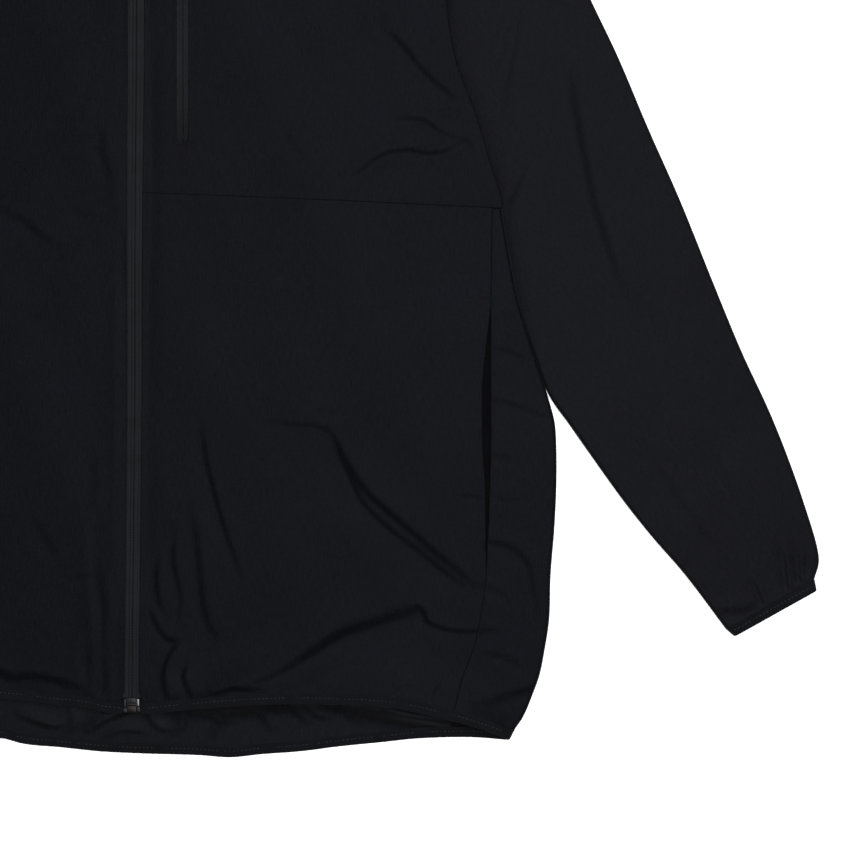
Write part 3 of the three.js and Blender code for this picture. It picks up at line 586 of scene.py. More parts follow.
# ======================================================================
# Wearer's right front
# One piece of the same softshell from hem to neck. Its zip edge is folded under and stitched down
# over the zip's tape, and its other edge is sewn to the side panel, except along the hand pocket.
# ======================================================================

FRONT_FOOT_Y = 0.033
BOX_BOTTOM_Y = 0.0302
RIGHT_FRONT_STEP = 0.0026
SEAM_DIP = 0.00022
SEAM_DIP_REACH = 0.0014
ZIP_STITCH_INSET = 0.0034
POCKET_STITCH_INSET = 0.0022
STITCH_SINK = 0.00028
STITCH_SINK_REACH = 0.0007

# Line of the main zip: y, x
ZIP_LINE = [
    (0.000, -0.0016),
    (0.040, -0.0014),
    (0.140, -0.0005),
    (0.250, 0.0005),
    (0.360, 0.0008),
    (0.425, 0.0012),
    (0.530, 0.0018),
    (0.900, 0.0018),
]

# Half width of the front opening over the zip: y, half width
OPENING_LINE = [
    (0.000, 0.00690),
    (0.0415, 0.00680),
    (0.0455, 0.00510),
    (0.052, 0.00500),
    (0.200, 0.00505),
    (0.360, 0.00530),
    (0.480, 0.00565),
    (0.900, 0.00565),
]

# Lower edge of the front hem, wearer's right to left: x, y
FRONT_HEM = [
    (-0.2636, 0.0119),
    (-0.2529, 0.0163),
    (-0.2409, 0.0210),
    (-0.2079, 0.0310),
    (-0.1887, 0.0350),
    (-0.1600, 0.0385),
    (-0.1250, 0.0405),
    (-0.0935, 0.0406),
    (-0.0767, 0.0392),
    (-0.0536, 0.0364),
    (-0.0368, 0.0350),
    (-0.0165, 0.0308),
    (0.0074, 0.0301),
    (0.0326, 0.0326),
    (0.0634, 0.0354),
    (0.1103, 0.0378),
    (0.1446, 0.0371),
    (0.1726, 0.0358),
    (0.1887, 0.0339),
    (0.2079, 0.0299),
    (0.2409, 0.0210),
    (0.2529, 0.0163),
    (0.2636, 0.0119),
]

# How far the front hem's edge is lifted off the back: x, height
HEM_LIFT = [
    (-0.2600, 0.0000),
    (-0.2100, 0.0016),
    (-0.1300, 0.0004),
    (-0.0500, 0.0002),
    (0.0050, 0.0003),
    (0.0300, 0.0024),
    (0.0600, 0.0046),
    (0.0900, 0.0068),
    (0.1200, 0.0060),
    (0.1500, 0.0048),
    (0.1900, 0.0072),
    (0.2300, 0.0078),
    (0.2520, 0.0036),
    (0.2620, 0.0000),
]
HEM_LIFT_REACH = 0.026

# Neck seam in front, from the middle to the neck point: x, y
NECK_FRONT = [
    (0.000, 0.7030),
    (0.020, 0.7045),
    (0.040, 0.7110),
    (0.058, 0.7250),
    (0.070, 0.7420),
    NECK,
]


def mirrored(creases, shift, share):
    """The same creases on the other side, moved a little and made deeper or shallower."""
    there = []
    for depth, flank, reach, path in creases:
        points = [(shift[0] - x, y + shift[1], strength) for x, y, strength in reversed(path)]
        there.append(Crease(depth * share, flank, reach, points))
    return there


# Creases of the wearer's left front, where the cloth sank as the jacket was laid down
LOWER_CREASES = [
    # From below the chest down to the side seam, in two steps that run together
    Crease(0.0018, 0.0015, 0.016, [
        (0.083, 0.238, 0), (0.104, 0.234, 0.35), (0.137, 0.228, 0.6), (0.147, 0.207, 0.8),
        (0.161, 0.178, 1), (0.178, 0.161, 1), (0.200, 0.144, 0.8), (0.216, 0.131, 0.7),
        (0.231, 0.120, 0.3),
    ]),
    Crease(0.0024, 0.0020, 0.016, [
        (0.139, 0.225, 0), (0.149, 0.207, 0.7), (0.163, 0.186, 1), (0.178, 0.172, 1),
        (0.197, 0.156, 0.8), (0.214, 0.141, 0.7), (0.235, 0.124, 0.4), (0.248, 0.113, 0),
    ]),
    # Long curve over the hem, with a small fold at its upper end
    Crease(0.0040, 0.0039, 0.020, [
        (0.022, 0.043, 0.25), (0.054, 0.044, 0.5), (0.084, 0.052, 0.8), (0.101, 0.059, 0.9),
        (0.127, 0.075, 1), (0.143, 0.085, 1), (0.168, 0.094, 0.8), (0.197, 0.103, 0.5),
        (0.204, 0.105, 0),
    ]),
    Crease(0.0013, 0.0011, 0.006, [
        (0.195, 0.108, 0), (0.202, 0.103, 1), (0.206, 0.095, 1), (0.217, 0.090, 0.9),
        (0.232, 0.088, 0.8), (0.255, 0.089, 0.4),
    ]),
]

# Smaller ones of the same side, beside the zip and over the hem's elastic
ELASTIC_CREASES = [
    Crease(0.0007, 0.0014, 0.008, [(0.121, 0.048, 0), (0.142, 0.057, 1), (0.167, 0.061, 0)]),
    Crease(0.0013, 0.0013, 0.009, [
        (0.047, 0.243, 0), (0.051, 0.209, 0.8), (0.058, 0.180, 1), (0.064, 0.159, 0.9),
        (0.070, 0.142, 0.7), (0.077, 0.122, 0),
    ]),
    Crease(0.0015, 0.0022, 0.010, [
        (0.040, 0.180, 0), (0.044, 0.152, 0.8), (0.047, 0.124, 1), (0.049, 0.106, 1),
        (0.056, 0.087, 0.6), (0.062, 0.082, 0),
    ]),
    Crease(0.0013, 0.0010, 0.006, [
        (0.010, 0.107, 0), (0.016, 0.093, 1), (0.023, 0.083, 1), (0.033, 0.080, 0),
    ]),
    Crease(0.0016, 0.0013, 0.008, [
        (0.034, 0.082, 0), (0.026, 0.073, 1), (0.021, 0.059, 1), (0.023, 0.042, 0.7),
    ]),
    Crease(0.0013, 0.0016, 0.008, [
        (0.019, 0.148, 0), (0.016, 0.124, 1), (0.020, 0.104, 0.6), (0.027, 0.096, 0),
    ]),
    Crease(0.0012, 0.0014, 0.008, [
        (0.030, 0.166, 0), (0.028, 0.138, 1), (0.033, 0.110, 0.8), (0.030, 0.090, 0),
    ]),
    Crease(0.0014, 0.0012, 0.007, [(0.040, 0.068, 0), (0.035, 0.057, 1), (0.040, 0.044, 0.6)]),
    Crease(0.0015, 0.0011, 0.006, [
        (0.056, 0.044, 0.7), (0.069, 0.048, 1), (0.083, 0.047, 1), (0.096, 0.050, 0),
    ]),
    Crease(0.0011, 0.0009, 0.005, [(0.094, 0.045, 0.6), (0.104, 0.051, 1), (0.117, 0.052, 0)]),
    Crease(0.0009, 0.0009, 0.005, [(0.132, 0.045, 0.6), (0.138, 0.050, 1), (0.147, 0.051, 0)]),
    Crease(0.0009, 0.0009, 0.005, [(0.181, 0.044, 0.7), (0.188, 0.050, 1), (0.199, 0.051, 0)]),
    Crease(0.0009, 0.0010, 0.005, [(0.209, 0.040, 0.7), (0.212, 0.048, 1), (0.219, 0.055, 0)]),
]
UPPER_CREASES = [
    # Across the chest from the armhole
    Crease(0.0020, 0.0012, 0.009, [
        (0.148, 0.402, 0), (0.157, 0.409, 0.6), (0.163, 0.414, 0.9), (0.175, 0.422, 1),
        (0.191, 0.425, 1), (0.206, 0.423, 1), (0.220, 0.425, 0.8), (0.227, 0.429, 0.6),
        (0.234, 0.432, 0.5),
    ]),
    Crease(0.0017, 0.0011, 0.007, [
        (0.175, 0.447, 0), (0.194, 0.447, 0.9), (0.206, 0.445, 1), (0.212, 0.440, 0.8),
        (0.222, 0.435, 0.5), (0.234, 0.433, 0.4),
    ]),
    Crease(0.0010, 0.0009, 0.005, [
        (0.204, 0.451, 0), (0.212, 0.452, 1), (0.220, 0.453, 1), (0.230, 0.460, 0.6),
    ]),
    Crease(0.0017, 0.0017, 0.010, [
        (0.170, 0.515, 0), (0.187, 0.500, 1), (0.200, 0.484, 0.9), (0.212, 0.472, 1),
        (0.221, 0.465, 0.8), (0.231, 0.459, 0),
    ]),
    Crease(0.0005, 0.0012, 0.007, [(0.103, 0.440, 0), (0.114, 0.427, 1), (0.121, 0.418, 0)]),
    Crease(0.0009, 0.0036, 0.016, [
        (0.079, 0.699, 0), (0.110, 0.638, 1), (0.160, 0.584, 1), (0.205, 0.559, 0.4),
    ]),
    Crease(0.0008, 0.0028, 0.014, [
        (0.052, 0.689, 0), (0.066, 0.638, 1), (0.100, 0.594, 0.8), (0.120, 0.559, 0),
    ]),
    # Beside the hand pocket and on the side panel
    Crease(0.0005, 0.0009, 0.005, [(0.223, 0.183, 0), (0.234, 0.183, 1), (0.245, 0.181, 0.8)]),
    Crease(0.0017, 0.0015, 0.008, [
        (0.247, 0.151, 0.6), (0.264, 0.147, 1), (0.275, 0.137, 1), (0.280, 0.116, 0.9),
        (0.283, 0.085, 0.2),
    ]),
    Crease(0.0009, 0.0010, 0.005, [(0.248, 0.120, 0.7), (0.257, 0.115, 1), (0.266, 0.107, 0)]),
    Crease(0.0010, 0.0010, 0.006, [
        (0.248, 0.250, 0.6), (0.259, 0.249, 1), (0.274, 0.244, 1), (0.290, 0.237, 0.4),
    ]),
    Crease(0.0008, 0.0010, 0.005, [(0.250, 0.288, 0.6), (0.260, 0.285, 1), (0.274, 0.279, 0.6)]),
    Crease(0.0007, 0.0009, 0.005, [(0.248, 0.213, 0.6), (0.261, 0.210, 1), (0.275, 0.204, 0)]),
    Crease(0.0006, 0.0009, 0.005, [(0.248, 0.185, 0.6), (0.262, 0.180, 1), (0.278, 0.180, 0)]),
    Crease(0.0008, 0.0010, 0.005, [(0.247, 0.073, 0.6), (0.262, 0.069, 1), (0.276, 0.061, 0)]),
    Crease(0.0016, 0.0015, 0.008, [
        (0.231, 0.036, 0.2), (0.247, 0.038, 0.8), (0.262, 0.043, 1), (0.279, 0.048, 0.8),
        (0.285, 0.050, 0.4),
    ]),
]

# Creases of the wearer's right front that differ from the left's, and the valleys along the zip
RIGHT_FRONT_CREASES = [
    Crease(0.0011, 0.0009, 0.005, [(-0.046, 0.125, 0), (-0.036, 0.126, 1), (-0.028, 0.129, 0.5)]),
    Crease(0.0019, 0.0013, 0.008, [
        (-0.026, 0.044, 0.7), (-0.025, 0.068, 1), (-0.026, 0.099, 1), (-0.030, 0.131, 0.6),
        (-0.029, 0.180, 0),
    ]),
    Crease(0.0014, 0.0011, 0.007, [
        (-0.014, 0.044, 0.8), (-0.016, 0.075, 1), (-0.015, 0.110, 0.8), (-0.018, 0.138, 0),
    ]),
    Crease(0.0012, 0.0012, 0.007, [(-0.035, 0.047, 0.7), (-0.037, 0.067, 1), (-0.035, 0.085, 0)]),
    Crease(0.0011, 0.0012, 0.007, [(-0.024, 0.452, 0), (-0.020, 0.418, 1), (-0.013, 0.393, 0)]),
    Crease(0.0010, 0.0011, 0.007, [(-0.012, 0.397, 0), (-0.007, 0.358, 1), (-0.007, 0.315, 0)]),
    Crease(0.0008, 0.0010, 0.006, [
        (-0.044, 0.388, 0), (-0.036, 0.380, 1), (-0.023, 0.379, 0.8), (-0.012, 0.384, 0),
    ]),
    Crease(0.0012, 0.0016, 0.009, [
        (-0.112, 0.390, 0), (-0.096, 0.385, 0.8), (-0.080, 0.378, 1), (-0.064, 0.365, 0.9),
        (-0.046, 0.355, 0),
    ]),
    Crease(0.0008, 0.0012, 0.007, [(-0.072, 0.173, 0), (-0.061, 0.153, 1), (-0.051, 0.137, 0)]),
    Crease(0.0007, 0.0012, 0.007, [(-0.030, 0.222, 0), (-0.027, 0.194, 1), (-0.029, 0.166, 0)]),
    Crease(0.0019, 0.0010, 0.006, [
        (-0.121, 0.062, 0), (-0.093, 0.059, 0.9), (-0.084, 0.055, 1), (-0.072, 0.057, 1),
        (-0.050, 0.052, 1), (-0.032, 0.047, 0.4),
    ]),
    Crease(0.0010, 0.0009, 0.005, [(-0.079, 0.047, 0.6), (-0.075, 0.051, 1), (-0.063, 0.050, 0)]),
    Crease(0.0009, 0.0009, 0.005, [(-0.095, 0.047, 0.6), (-0.091, 0.052, 1), (-0.085, 0.051, 0)]),
    Crease(0.0013, 0.0017, 0.007, [
        (0.009, 0.047, 0.5), (0.008, 0.152, 0.5), (0.009, 0.299, 0.6), (0.010, 0.390, 1),
        (0.010, 0.439, 1), (0.010, 0.488, 0.6), (0.010, 0.565, 0),
    ]),
    Crease(0.0013, 0.0017, 0.007, [
        (-0.010, 0.047, 0.6), (-0.009, 0.152, 0.9), (-0.009, 0.299, 1), (-0.008, 0.376, 0.9),
        (-0.008, 0.425, 0),
    ]),
]
FRONT_CREASES = [
    *LOWER_CREASES,
    *ELASTIC_CREASES,
    *UPPER_CREASES,
    *RIGHT_FRONT_CREASES,
    *mirrored(LOWER_CREASES, (-0.030, 0.012), 0.85),
    *mirrored(UPPER_CREASES, (-0.006, -0.014), 0.90),
]

zip_x = line(ZIP_LINE)
opening_half = line(OPENING_LINE)
front_hem_edge = line(FRONT_HEM)
neck_front = line(NECK_FRONT)
hem_lift = line(HEM_LIFT)
pocket_slot = line(POCKET_SEAM, 2)


def opening(side):
    """A front's folded zip edge, as its distance from x = 0 at each y."""
    return lambda y: opening_half(y) + side * zip_x(y)


def front_hem(side):
    """A front's lower edge, over the binding."""
    return lambda x: front_hem_edge(side * x) + BINDING_WIDTH - BINDING_LAP


def slot_edge(y):
    """A front's side edge below the armhole, drawn back along the pocket's slot."""
    return pocket_seam(y) - pocket_slot(y) + SEAM_LAP


def front_top(x, y):
    """Height of the fronts' outside, which never sinks into the back."""
    lifted = hem_lift(x) * np.exp(-((np.clip(y - front_hem_edge(x), 0, None) / HEM_LIFT_REACH) ** 2))
    laid = HEIGHT + relief(x, y, FRONT_CREASES) + swells(x, y) + lifted
    clear = back_under(x, y) + 2 * CLOTH + SEAM
    return mix(np.maximum(laid, clear), HEIGHT / 2 + SEAM / 2 + CLOTH, shoulder_pinch(x, y))


def dip(distance, depth=SEAM_DIP, reach=SEAM_DIP_REACH):
    """How far cloth sinks beside a sewn seam."""
    return depth * np.exp(-distance / reach)


def groove(distance, inset):
    """How far a row of stitches sinks into a folded edge."""
    return STITCH_SINK * np.exp(-(((distance - inset) / STITCH_SINK_REACH) ** 2))


def front_faces(plan, side, slot=None):
    """Outer and inner face of a front. Its left edge is the zip fold, and its right the side edge."""
    bottom, top, zip_fold, side_edge = edge_distances(plan)
    y = plan[..., 1]
    pocket = smooth(pocket_slot(y) / POCKET_STITCH_INSET) * (y < SEAM_TOP)
    sink = dip(np.minimum(bottom, top)) + (1 - pocket) * dip(side_edge)
    sink += groove(zip_fold, ZIP_STITCH_INSET) + pocket * groove(side_edge, POCKET_STITCH_INSET)
    edge = np.minimum(np.minimum(bottom, top), np.minimum(zip_fold, side_edge))
    if slot is not None:
        edge = np.minimum(edge, slot)
        sink += groove(slot, POCKET_STITCH_INSET)
    placed = plan * [side, 1]
    return layer(placed, front_top(placed[..., 0], y) - sink, edge)


def finish_front(made):
    made.data.materials.append(body_shell)
    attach(made, "jacket")


def right_edge(y):
    return np.where(y < mix(SEAM_TOP, ARMHOLE_FOOT, 0.5), slot_edge(y), armhole(y) + SEAM_LAP)


right_hem = front_hem(-1)
right_opening = opening(-1)
neck_and_shoulder = shoulder_line(neck_front)
right_hem_ends = right_opening(BOX_BOTTOM_Y), slot_edge(FRONT_FOOT_Y)
right_top_ends = right_opening(NECK_FRONT[0][1]), shoulder_edge
right_start, right_end = right_hem(right_hem_ends[1]), neck_and_shoulder(right_top_ends[1])
right_lengths = SEAM_TOP - right_start, right_end - ARMHOLE_FOOT
right_rows = np.concatenate([
    right_start + right_lengths[0] * steps(right_lengths[0], RIGHT_FRONT_STEP, end=False),
    ARMHOLE_FOOT + right_lengths[1] * steps(right_lengths[1], RIGHT_FRONT_STEP, start=False),
])
right_plan = panel(
    bottom=across_x(*right_hem_ends, right_hem),
    top=across_x(*right_top_ends, neck_and_shoulder),
    left=along_y(right_hem(right_hem_ends[0]), neck_and_shoulder(right_top_ends[0]), right_opening),
    right=along_y(right_start, right_end, right_edge),
    across=steps(right_hem_ends[1] - right_hem_ends[0], RIGHT_FRONT_STEP),
    up=(right_rows - right_start) / (right_end - right_start),
)
right_faces = front_faces(right_plan, -1)
right_front = wall("right_front_cloth", *right_faces)
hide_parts("right_front_panel")
finish_front(right_front)


# ======================================================================
# Wearer's left front, lower part
# Softshell from the hem up to the seam across the chest. The zip edge is folded and stitched down,
# and the side edge is folded back along the hand pocket's slot.
# ======================================================================

LOWER_FRONT_STEP = 0.00145

# Seam across the wearer's left front: x, y
CHEST_SEAM = [
    (0.0067, 0.3952),
    (0.1400, 0.3898),
    (0.2600, 0.3840),
]

chest_seam = line(CHEST_SEAM)
left_hem = front_hem(1)
left_opening = opening(1)


def lower_chest_edge(x):
    return chest_seam(x) + SEAM_LAP


lower_hem_ends = left_opening(BOX_BOTTOM_Y), slot_edge(FRONT_FOOT_Y)
lower_top_ends = left_opening(CHEST_SEAM[0][1]), slot_edge(SEAM_TOP)
lower_start, lower_end = left_hem(lower_hem_ends[1]), lower_chest_edge(lower_top_ends[1])
lower_plan = panel(
    bottom=across_x(*lower_hem_ends, left_hem),
    top=across_x(*lower_top_ends, lower_chest_edge),
    left=along_y(left_hem(lower_hem_ends[0]), lower_chest_edge(lower_top_ends[0]), left_opening),
    right=along_y(lower_start, lower_end, slot_edge),
    across=steps(lower_top_ends[1] - lower_top_ends[0], LOWER_FRONT_STEP),
    up=steps(lower_end - lower_start, LOWER_FRONT_STEP),
)
lower_faces = front_faces(lower_plan, 1)
lower_front = wall("left_lower_front_cloth", *lower_faces)
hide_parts("left_lower_front_panel")
finish_front(lower_front)


# ======================================================================
# Wearer's left front, chest
# Softshell from the chest seam to the neck, with a slot for the chest zip whose ends are rounded. The
# slot's edge is turned under and stitched round. It is finished with the chest zip.
# ======================================================================

CHEST_STEP = 0.00175
CHEST_ZIP_X = 0.0343
SLOT_RADIUS = 0.0042
SLOT_BOTTOM = 0.4344
SLOT_TOP = 0.5886
SLOT_TURNS = 8
SLOT_WARP = 0.012
STRAIGHT_COLUMNS_END = 0.060


def chest_edge(x):
    return chest_seam(x) - SEAM_LAP


def between(low, high, **edges):
    """Places from one to another, with short steps beside those ends that are edges."""
    return low + (high - low) * steps(high - low, CHEST_STEP, **edges)


chest_low, chest_high = ARMHOLE_FOOT - SEAM_LAP, neck_and_shoulder(shoulder_edge)
chest_zip_edge = left_opening(NECK_FRONT[0][1])
chest_zip_ends = chest_edge(chest_zip_edge), neck_and_shoulder(chest_zip_edge)
slot_sides = CHEST_ZIP_X - SLOT_RADIUS, CHEST_ZIP_X + SLOT_RADIUS
slot_turns = -np.cos(np.linspace(0, math.pi, SLOT_TURNS + 1))
slot_places = CHEST_ZIP_X + SLOT_RADIUS * slot_turns
inner_places = np.concatenate([
    between(chest_zip_edge, slot_sides[0]),
    slot_places[1:-1],
    between(slot_sides[1], STRAIGHT_COLUMNS_END, end=False),
])
outer_shares = steps(shoulder_edge - STRAIGHT_COLUMNS_END, CHEST_STEP, start=False)[1:]
slot_start_column = int(np.argmin(abs(inner_places - slot_sides[0])))
seam_places = np.append(inner_places, mix(STRAIGHT_COLUMNS_END, armhole(chest_low) + SEAM_LAP, outer_shares))
neck_places = np.append(inner_places, mix(STRAIGHT_COLUMNS_END, shoulder_edge, outer_shares))
chest_across = np.append(np.zeros(len(inner_places)), outer_shares)


def through(places, height):
    """An edge that runs along x through one place for each column."""
    return lambda share: joined(places, height(places))


slot_line = chest_edge(CHEST_ZIP_X), neck_and_shoulder(CHEST_ZIP_X)


def slot_share(y):
    """Share of the panel's height at a y over the chest zip."""
    return (y - slot_line[0]) / (slot_line[1] - slot_line[0])


chest_span = slot_line[1] - slot_line[0]
slot_shares = slot_share(SLOT_BOTTOM), slot_share(SLOT_TOP)
chest_up = np.concatenate([
    slot_shares[0] * steps(chest_span * slot_shares[0], CHEST_STEP, end=False),
    mix(*slot_shares, steps(SLOT_TOP - SLOT_BOTTOM, CHEST_STEP, start=False, end=False))[1:],
    mix(slot_shares[1], 1, steps(chest_span * (1 - slot_shares[1]), CHEST_STEP, start=False))[1:],
])
chest_plan = panel(
    bottom=through(seam_places, chest_edge),
    top=through(neck_places, neck_and_shoulder),
    left=along_y(*chest_zip_ends, lambda y: chest_zip_edge + 0 * y),
    right=along_y(chest_low, chest_high, lambda y: armhole(y) + SEAM_LAP),
    across=chest_across,
    up=chest_up,
)
before_slot = (chest_plan[..., 0] - chest_zip_edge) / (slot_sides[0] - chest_zip_edge)
chest_plan[..., 0] += (left_opening(chest_plan[..., 1]) - chest_zip_edge) * (1 - smooth(before_slot))
slot_columns = slice(slot_start_column, slot_start_column + SLOT_TURNS + 1)
slot_rows = [int(np.argmin(abs(chest_up - share))) for share in slot_shares]
for row, way in zip(slot_rows, (-1, 1)):
    bulge = way * SLOT_RADIUS * np.sqrt(1 - slot_turns**2)
    away = way * (chest_plan[:, slot_columns, 1] - chest_plan[row, slot_columns, 1])
    fade = np.where(away < 0, 0, np.exp(-((away / SLOT_WARP) ** 2)))
    chest_plan[:, slot_columns, 1] += bulge * fade
slot_middle = chest_plan[:, slot_columns, 0].mean(axis=1)[:, None]
past_end = np.maximum(SLOT_BOTTOM - chest_plan[..., 1], chest_plan[..., 1] - SLOT_TOP)
from_slot = np.hypot(chest_plan[..., 0] - slot_middle, np.clip(past_end, 0, None)) - SLOT_RADIUS
cut = np.zeros((len(chest_up) - 1, len(chest_across) - 1), bool)
cut[slot_rows[0]:slot_rows[1], slot_start_column:slot_start_column + SLOT_TURNS] = True
chest_faces = front_faces(chest_plan, 1, slot=np.abs(from_slot))
chest_front = wall("left_chest_cloth", *chest_faces, opened=cut)
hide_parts("left_chest_panel")


# ======================================================================
# Inner cloth of the hand pockets
# A strip of thin black knit behind each slot, sewn in with the side seam. It lies low in the slot.
# ======================================================================

POCKET_CLOTH = 0.0010
POCKET_CLOTH_TOP = 0.0034
POCKET_CLOTH_ENDS = (0.114, 0.332)
POCKET_CLOTH_REACH = (-0.016, 0.009)
POCKET_CLOTH_STEP = 0.0022
POCKET_KNIT_PITCH = 0.0011
KNIT_DARK = (0.0010, 0.0010, 0.0013, 1)
KNIT_LIGHT = (0.0026, 0.0025, 0.0031, 1)
SIDES = ("left", 1), ("right", -1)

knit, knit_place, knit_surface = new_finish("pocket_knit", {"Roughness": 0.85, "Specular IOR Level": 0.02})
knit_x, knit_y = turned(knit_place, 0)[1:]
knit_loops = knit_x.wave(POCKET_KNIT_PITCH) * knit_y.wave(POCKET_KNIT_PITCH)
knit_tone = knit_place.noise(60.0)
connect(
    knit_surface,
    Base_Color=(knit_loops * 0.25 + knit_tone).blend(KNIT_DARK, KNIT_LIGHT),
    Normal=knit_loops.bump(0.5, 0.0002),
)

for word, side in SIDES:
    rows = POCKET_CLOTH_ENDS[1] - POCKET_CLOTH_ENDS[0]
    y = (POCKET_CLOTH_ENDS[0] + rows * steps(rows, POCKET_CLOTH_STEP))[:, None]
    width = POCKET_CLOTH_REACH[1] - POCKET_CLOTH_REACH[0]
    x = POCKET_CLOTH_REACH[0] + width * steps(width, POCKET_CLOTH_STEP)
    pocket_plan = joined(side * (pocket_seam(y) + x), y)
    sag = np.minimum(front_top(pocket_plan[..., 0], pocket_plan[..., 1]) - HEIGHT, 0)
    pocket_height = np.maximum(POCKET_CLOTH_TOP + sag, 2 * CLOTH + SEAM)
    pocket_edge = np.min(edge_distances(pocket_plan), axis=0)
    pocket_faces = layer(pocket_plan, pocket_height, pocket_edge, POCKET_CLOTH)
    pocket = wall(f"{word}_pocket_knit", *pocket_faces)
    pocket.data.materials.append(knit)
    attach(pocket, "jacket")
    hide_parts(f"{word}_pocket_cloth")


# ======================================================================
# Side panels
# Softshell from the pocket seam round the side fold to the back's seam, one on each side. Each is sewn
# to the front, to the back and, at the top, to the sleeve's underarm.
# ======================================================================

SIDE_STEP = 0.0021
SIDE_LEVEL_Y = 0.045
SIDE_FLAT_WIDTH = 0.040
SIDE_FOLD_FOOT_Y = 0.0190
FOLD_REACH = 0.0029
FOLD_STEPS = 10

# Side fold of the body, pulled in by the hem's elastic and by the armhole: y, x
BODY_SIDE = [
    (0.0119, 0.2636),
    (0.0189, 0.2671),
    (0.0259, 0.2720),
    (0.0329, 0.2755),
    (0.0399, 0.2783),
    (0.0574, 0.2846),
    (0.0749, 0.2881),
    (0.0924, 0.2909),
    (0.1274, 0.2923),
    (0.1624, 0.2951),
    (0.1974, 0.2965),
    (0.2289, 0.2958),
    (0.2550, 0.2896),
    (0.2900, 0.2785),
    (0.3213, 0.2692),
    (0.3500, 0.2636),
    (0.3840, 0.2577),
]

body_side = line(BODY_SIDE)
fold_turns = np.linspace(0, 1, FOLD_STEPS + 1)[1:-1] * math.pi


def fold(top, bottom, depth):
    """How far a fold's points lie in from its outermost line, and their heights, row by row."""
    inset = FOLD_REACH - (FOLD_REACH - depth) * np.sin(fold_turns)
    height = (top + bottom) / 2 + ((top - bottom) / 2 - depth) * np.cos(fold_turns)
    return inset, height


def side_faces(side):
    """Outer and inner face of a side panel: over the fold, round it and under it."""
    top_y = SEAM_TOP + 2 * SEAM_LAP
    level = (FRONT_FOOT_Y + (top_y - FRONT_FOOT_Y) * steps(top_y - FRONT_FOOT_Y, SIDE_STEP))[:, None]
    foot = np.clip((SIDE_LEVEL_Y - level) / (SIDE_LEVEL_Y - FRONT_FOOT_Y), 0, 1)
    fold_y = level - foot * (FRONT_FOOT_Y - SIDE_FOLD_FOOT_Y)
    back_y = level - foot * (FRONT_FOOT_Y - BACK_FOOT_Y)
    share = steps(SIDE_FLAT_WIDTH, SIDE_STEP, end=False)[None]
    edge = body_side(fold_y)
    plans = []
    for seam_y, hem in ((level, front_hem(side)), (back_y, lambda x: back_hem(side * x))):
        seam_y = seam_y + foot * (hem(pocket_seam(seam_y[:1])) - seam_y[:1])
        x = mix(pocket_seam(seam_y) - SEAM_LAP, edge - FOLD_REACH, share)
        y = mix(seam_y, fold_y, share)
        hem_line = mix(hem(x[:1]), fold_y[:1], share**6)
        plans.append((x, y + foot * (hem_line - y[:1])))
    (top_x, top_y_places), (under_x, under_y_places) = plans
    top = front_top(side * top_x, top_y_places)
    under = back_under(side * under_x, under_y_places)
    fold_y_places = np.repeat(fold_y, len(fold_turns), axis=1)
    ends = np.minimum(level - level[0], level[-1] - level)
    top_edge = np.minimum(ends, top_x - top_x[:, :1])
    under_edge = np.minimum(ends, under_x - under_x[:, :1])
    top = top - dip(top_x - top_x[:, :1]) - dip(level[-1] - level)
    faces = []
    for inner in (False, True):
        depths = [rounding(distance) for distance in (top_edge, ends, under_edge)]
        if inner:
            depths = [CLOTH - depth for depth in depths]
        inset, fold_height = fold(top[:, -1:], under[:, -1:], depths[1])
        x = np.hstack([top_x, edge - inset, under_x[:, ::-1]])
        y = np.hstack([top_y_places, fold_y_places, under_y_places[:, ::-1]])
        z = np.hstack([top - depths[0], fold_height, (under + depths[2])[:, ::-1]])
        faces.append(joined(side * x, y, z))
    return faces


for word, side in SIDES:
    side_panel = wall(f"{word}_side_cloth", *side_faces(side))
    side_panel.data.materials.append(body_shell)
    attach(side_panel, "jacket")
    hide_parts(f"{word}_side_panel")


# ======================================================================
# Sleeves
# Each is a tube of softshell, pressed flat by its own weight. It is sewn into the armhole and lies
# beside the body, sunk a little along it, down to where it swings out to the wrist.
# ======================================================================

# Shoulder to wrist: x and y on the outer fold, x and y on the underarm fold, and how much of the
# armhole's bow the tube keeps there
SLEEVE_SECTIONS = [
    (0.2414, 0.7052, 0.2591, 0.3871, 1.00),
    (0.2695, 0.6520, 0.2604, 0.3720, 0.62),
    (0.2935, 0.5980, 0.2640, 0.3500, 0.46),
    (0.3145, 0.5440, 0.2669, 0.3350, 0.32),
    (0.3378, 0.4949, 0.2697, 0.3213, 0.20),
    (0.3600, 0.4426, 0.2790, 0.2900, 0.10),
    (0.3833, 0.3899, 0.2901, 0.2550, 0.03),
    (0.4050, 0.3360, 0.3060, 0.2315, 0),
    (0.4260, 0.2849, 0.3225, 0.2080, 0),
    (0.4485, 0.2360, 0.3427, 0.1799, 0),
    (0.4694, 0.1799, 0.3645, 0.1525, 0),
    (0.4806, 0.1395, 0.3895, 0.1235, 0),
    (0.4773, 0.1243, 0.4152, 0.0892, 0),
]

# How deep the sleeve lies sunk along the body's edge: y, depth
BESIDE_BODY_SINK = [
    (0.24, 0),
    (0.29, 0.0014),
    (0.33, 0.0030),
    (0.37, 0.0031),
    (0.45, 0.0025),
    (0.53, 0.0018),
    (0.62, 0.0008),
    (0.705, 0),
]
BESIDE_BODY_REACH = 0.0085
TUCK = 0.0016
TUCK_ENDS = (0.262, 0.300)

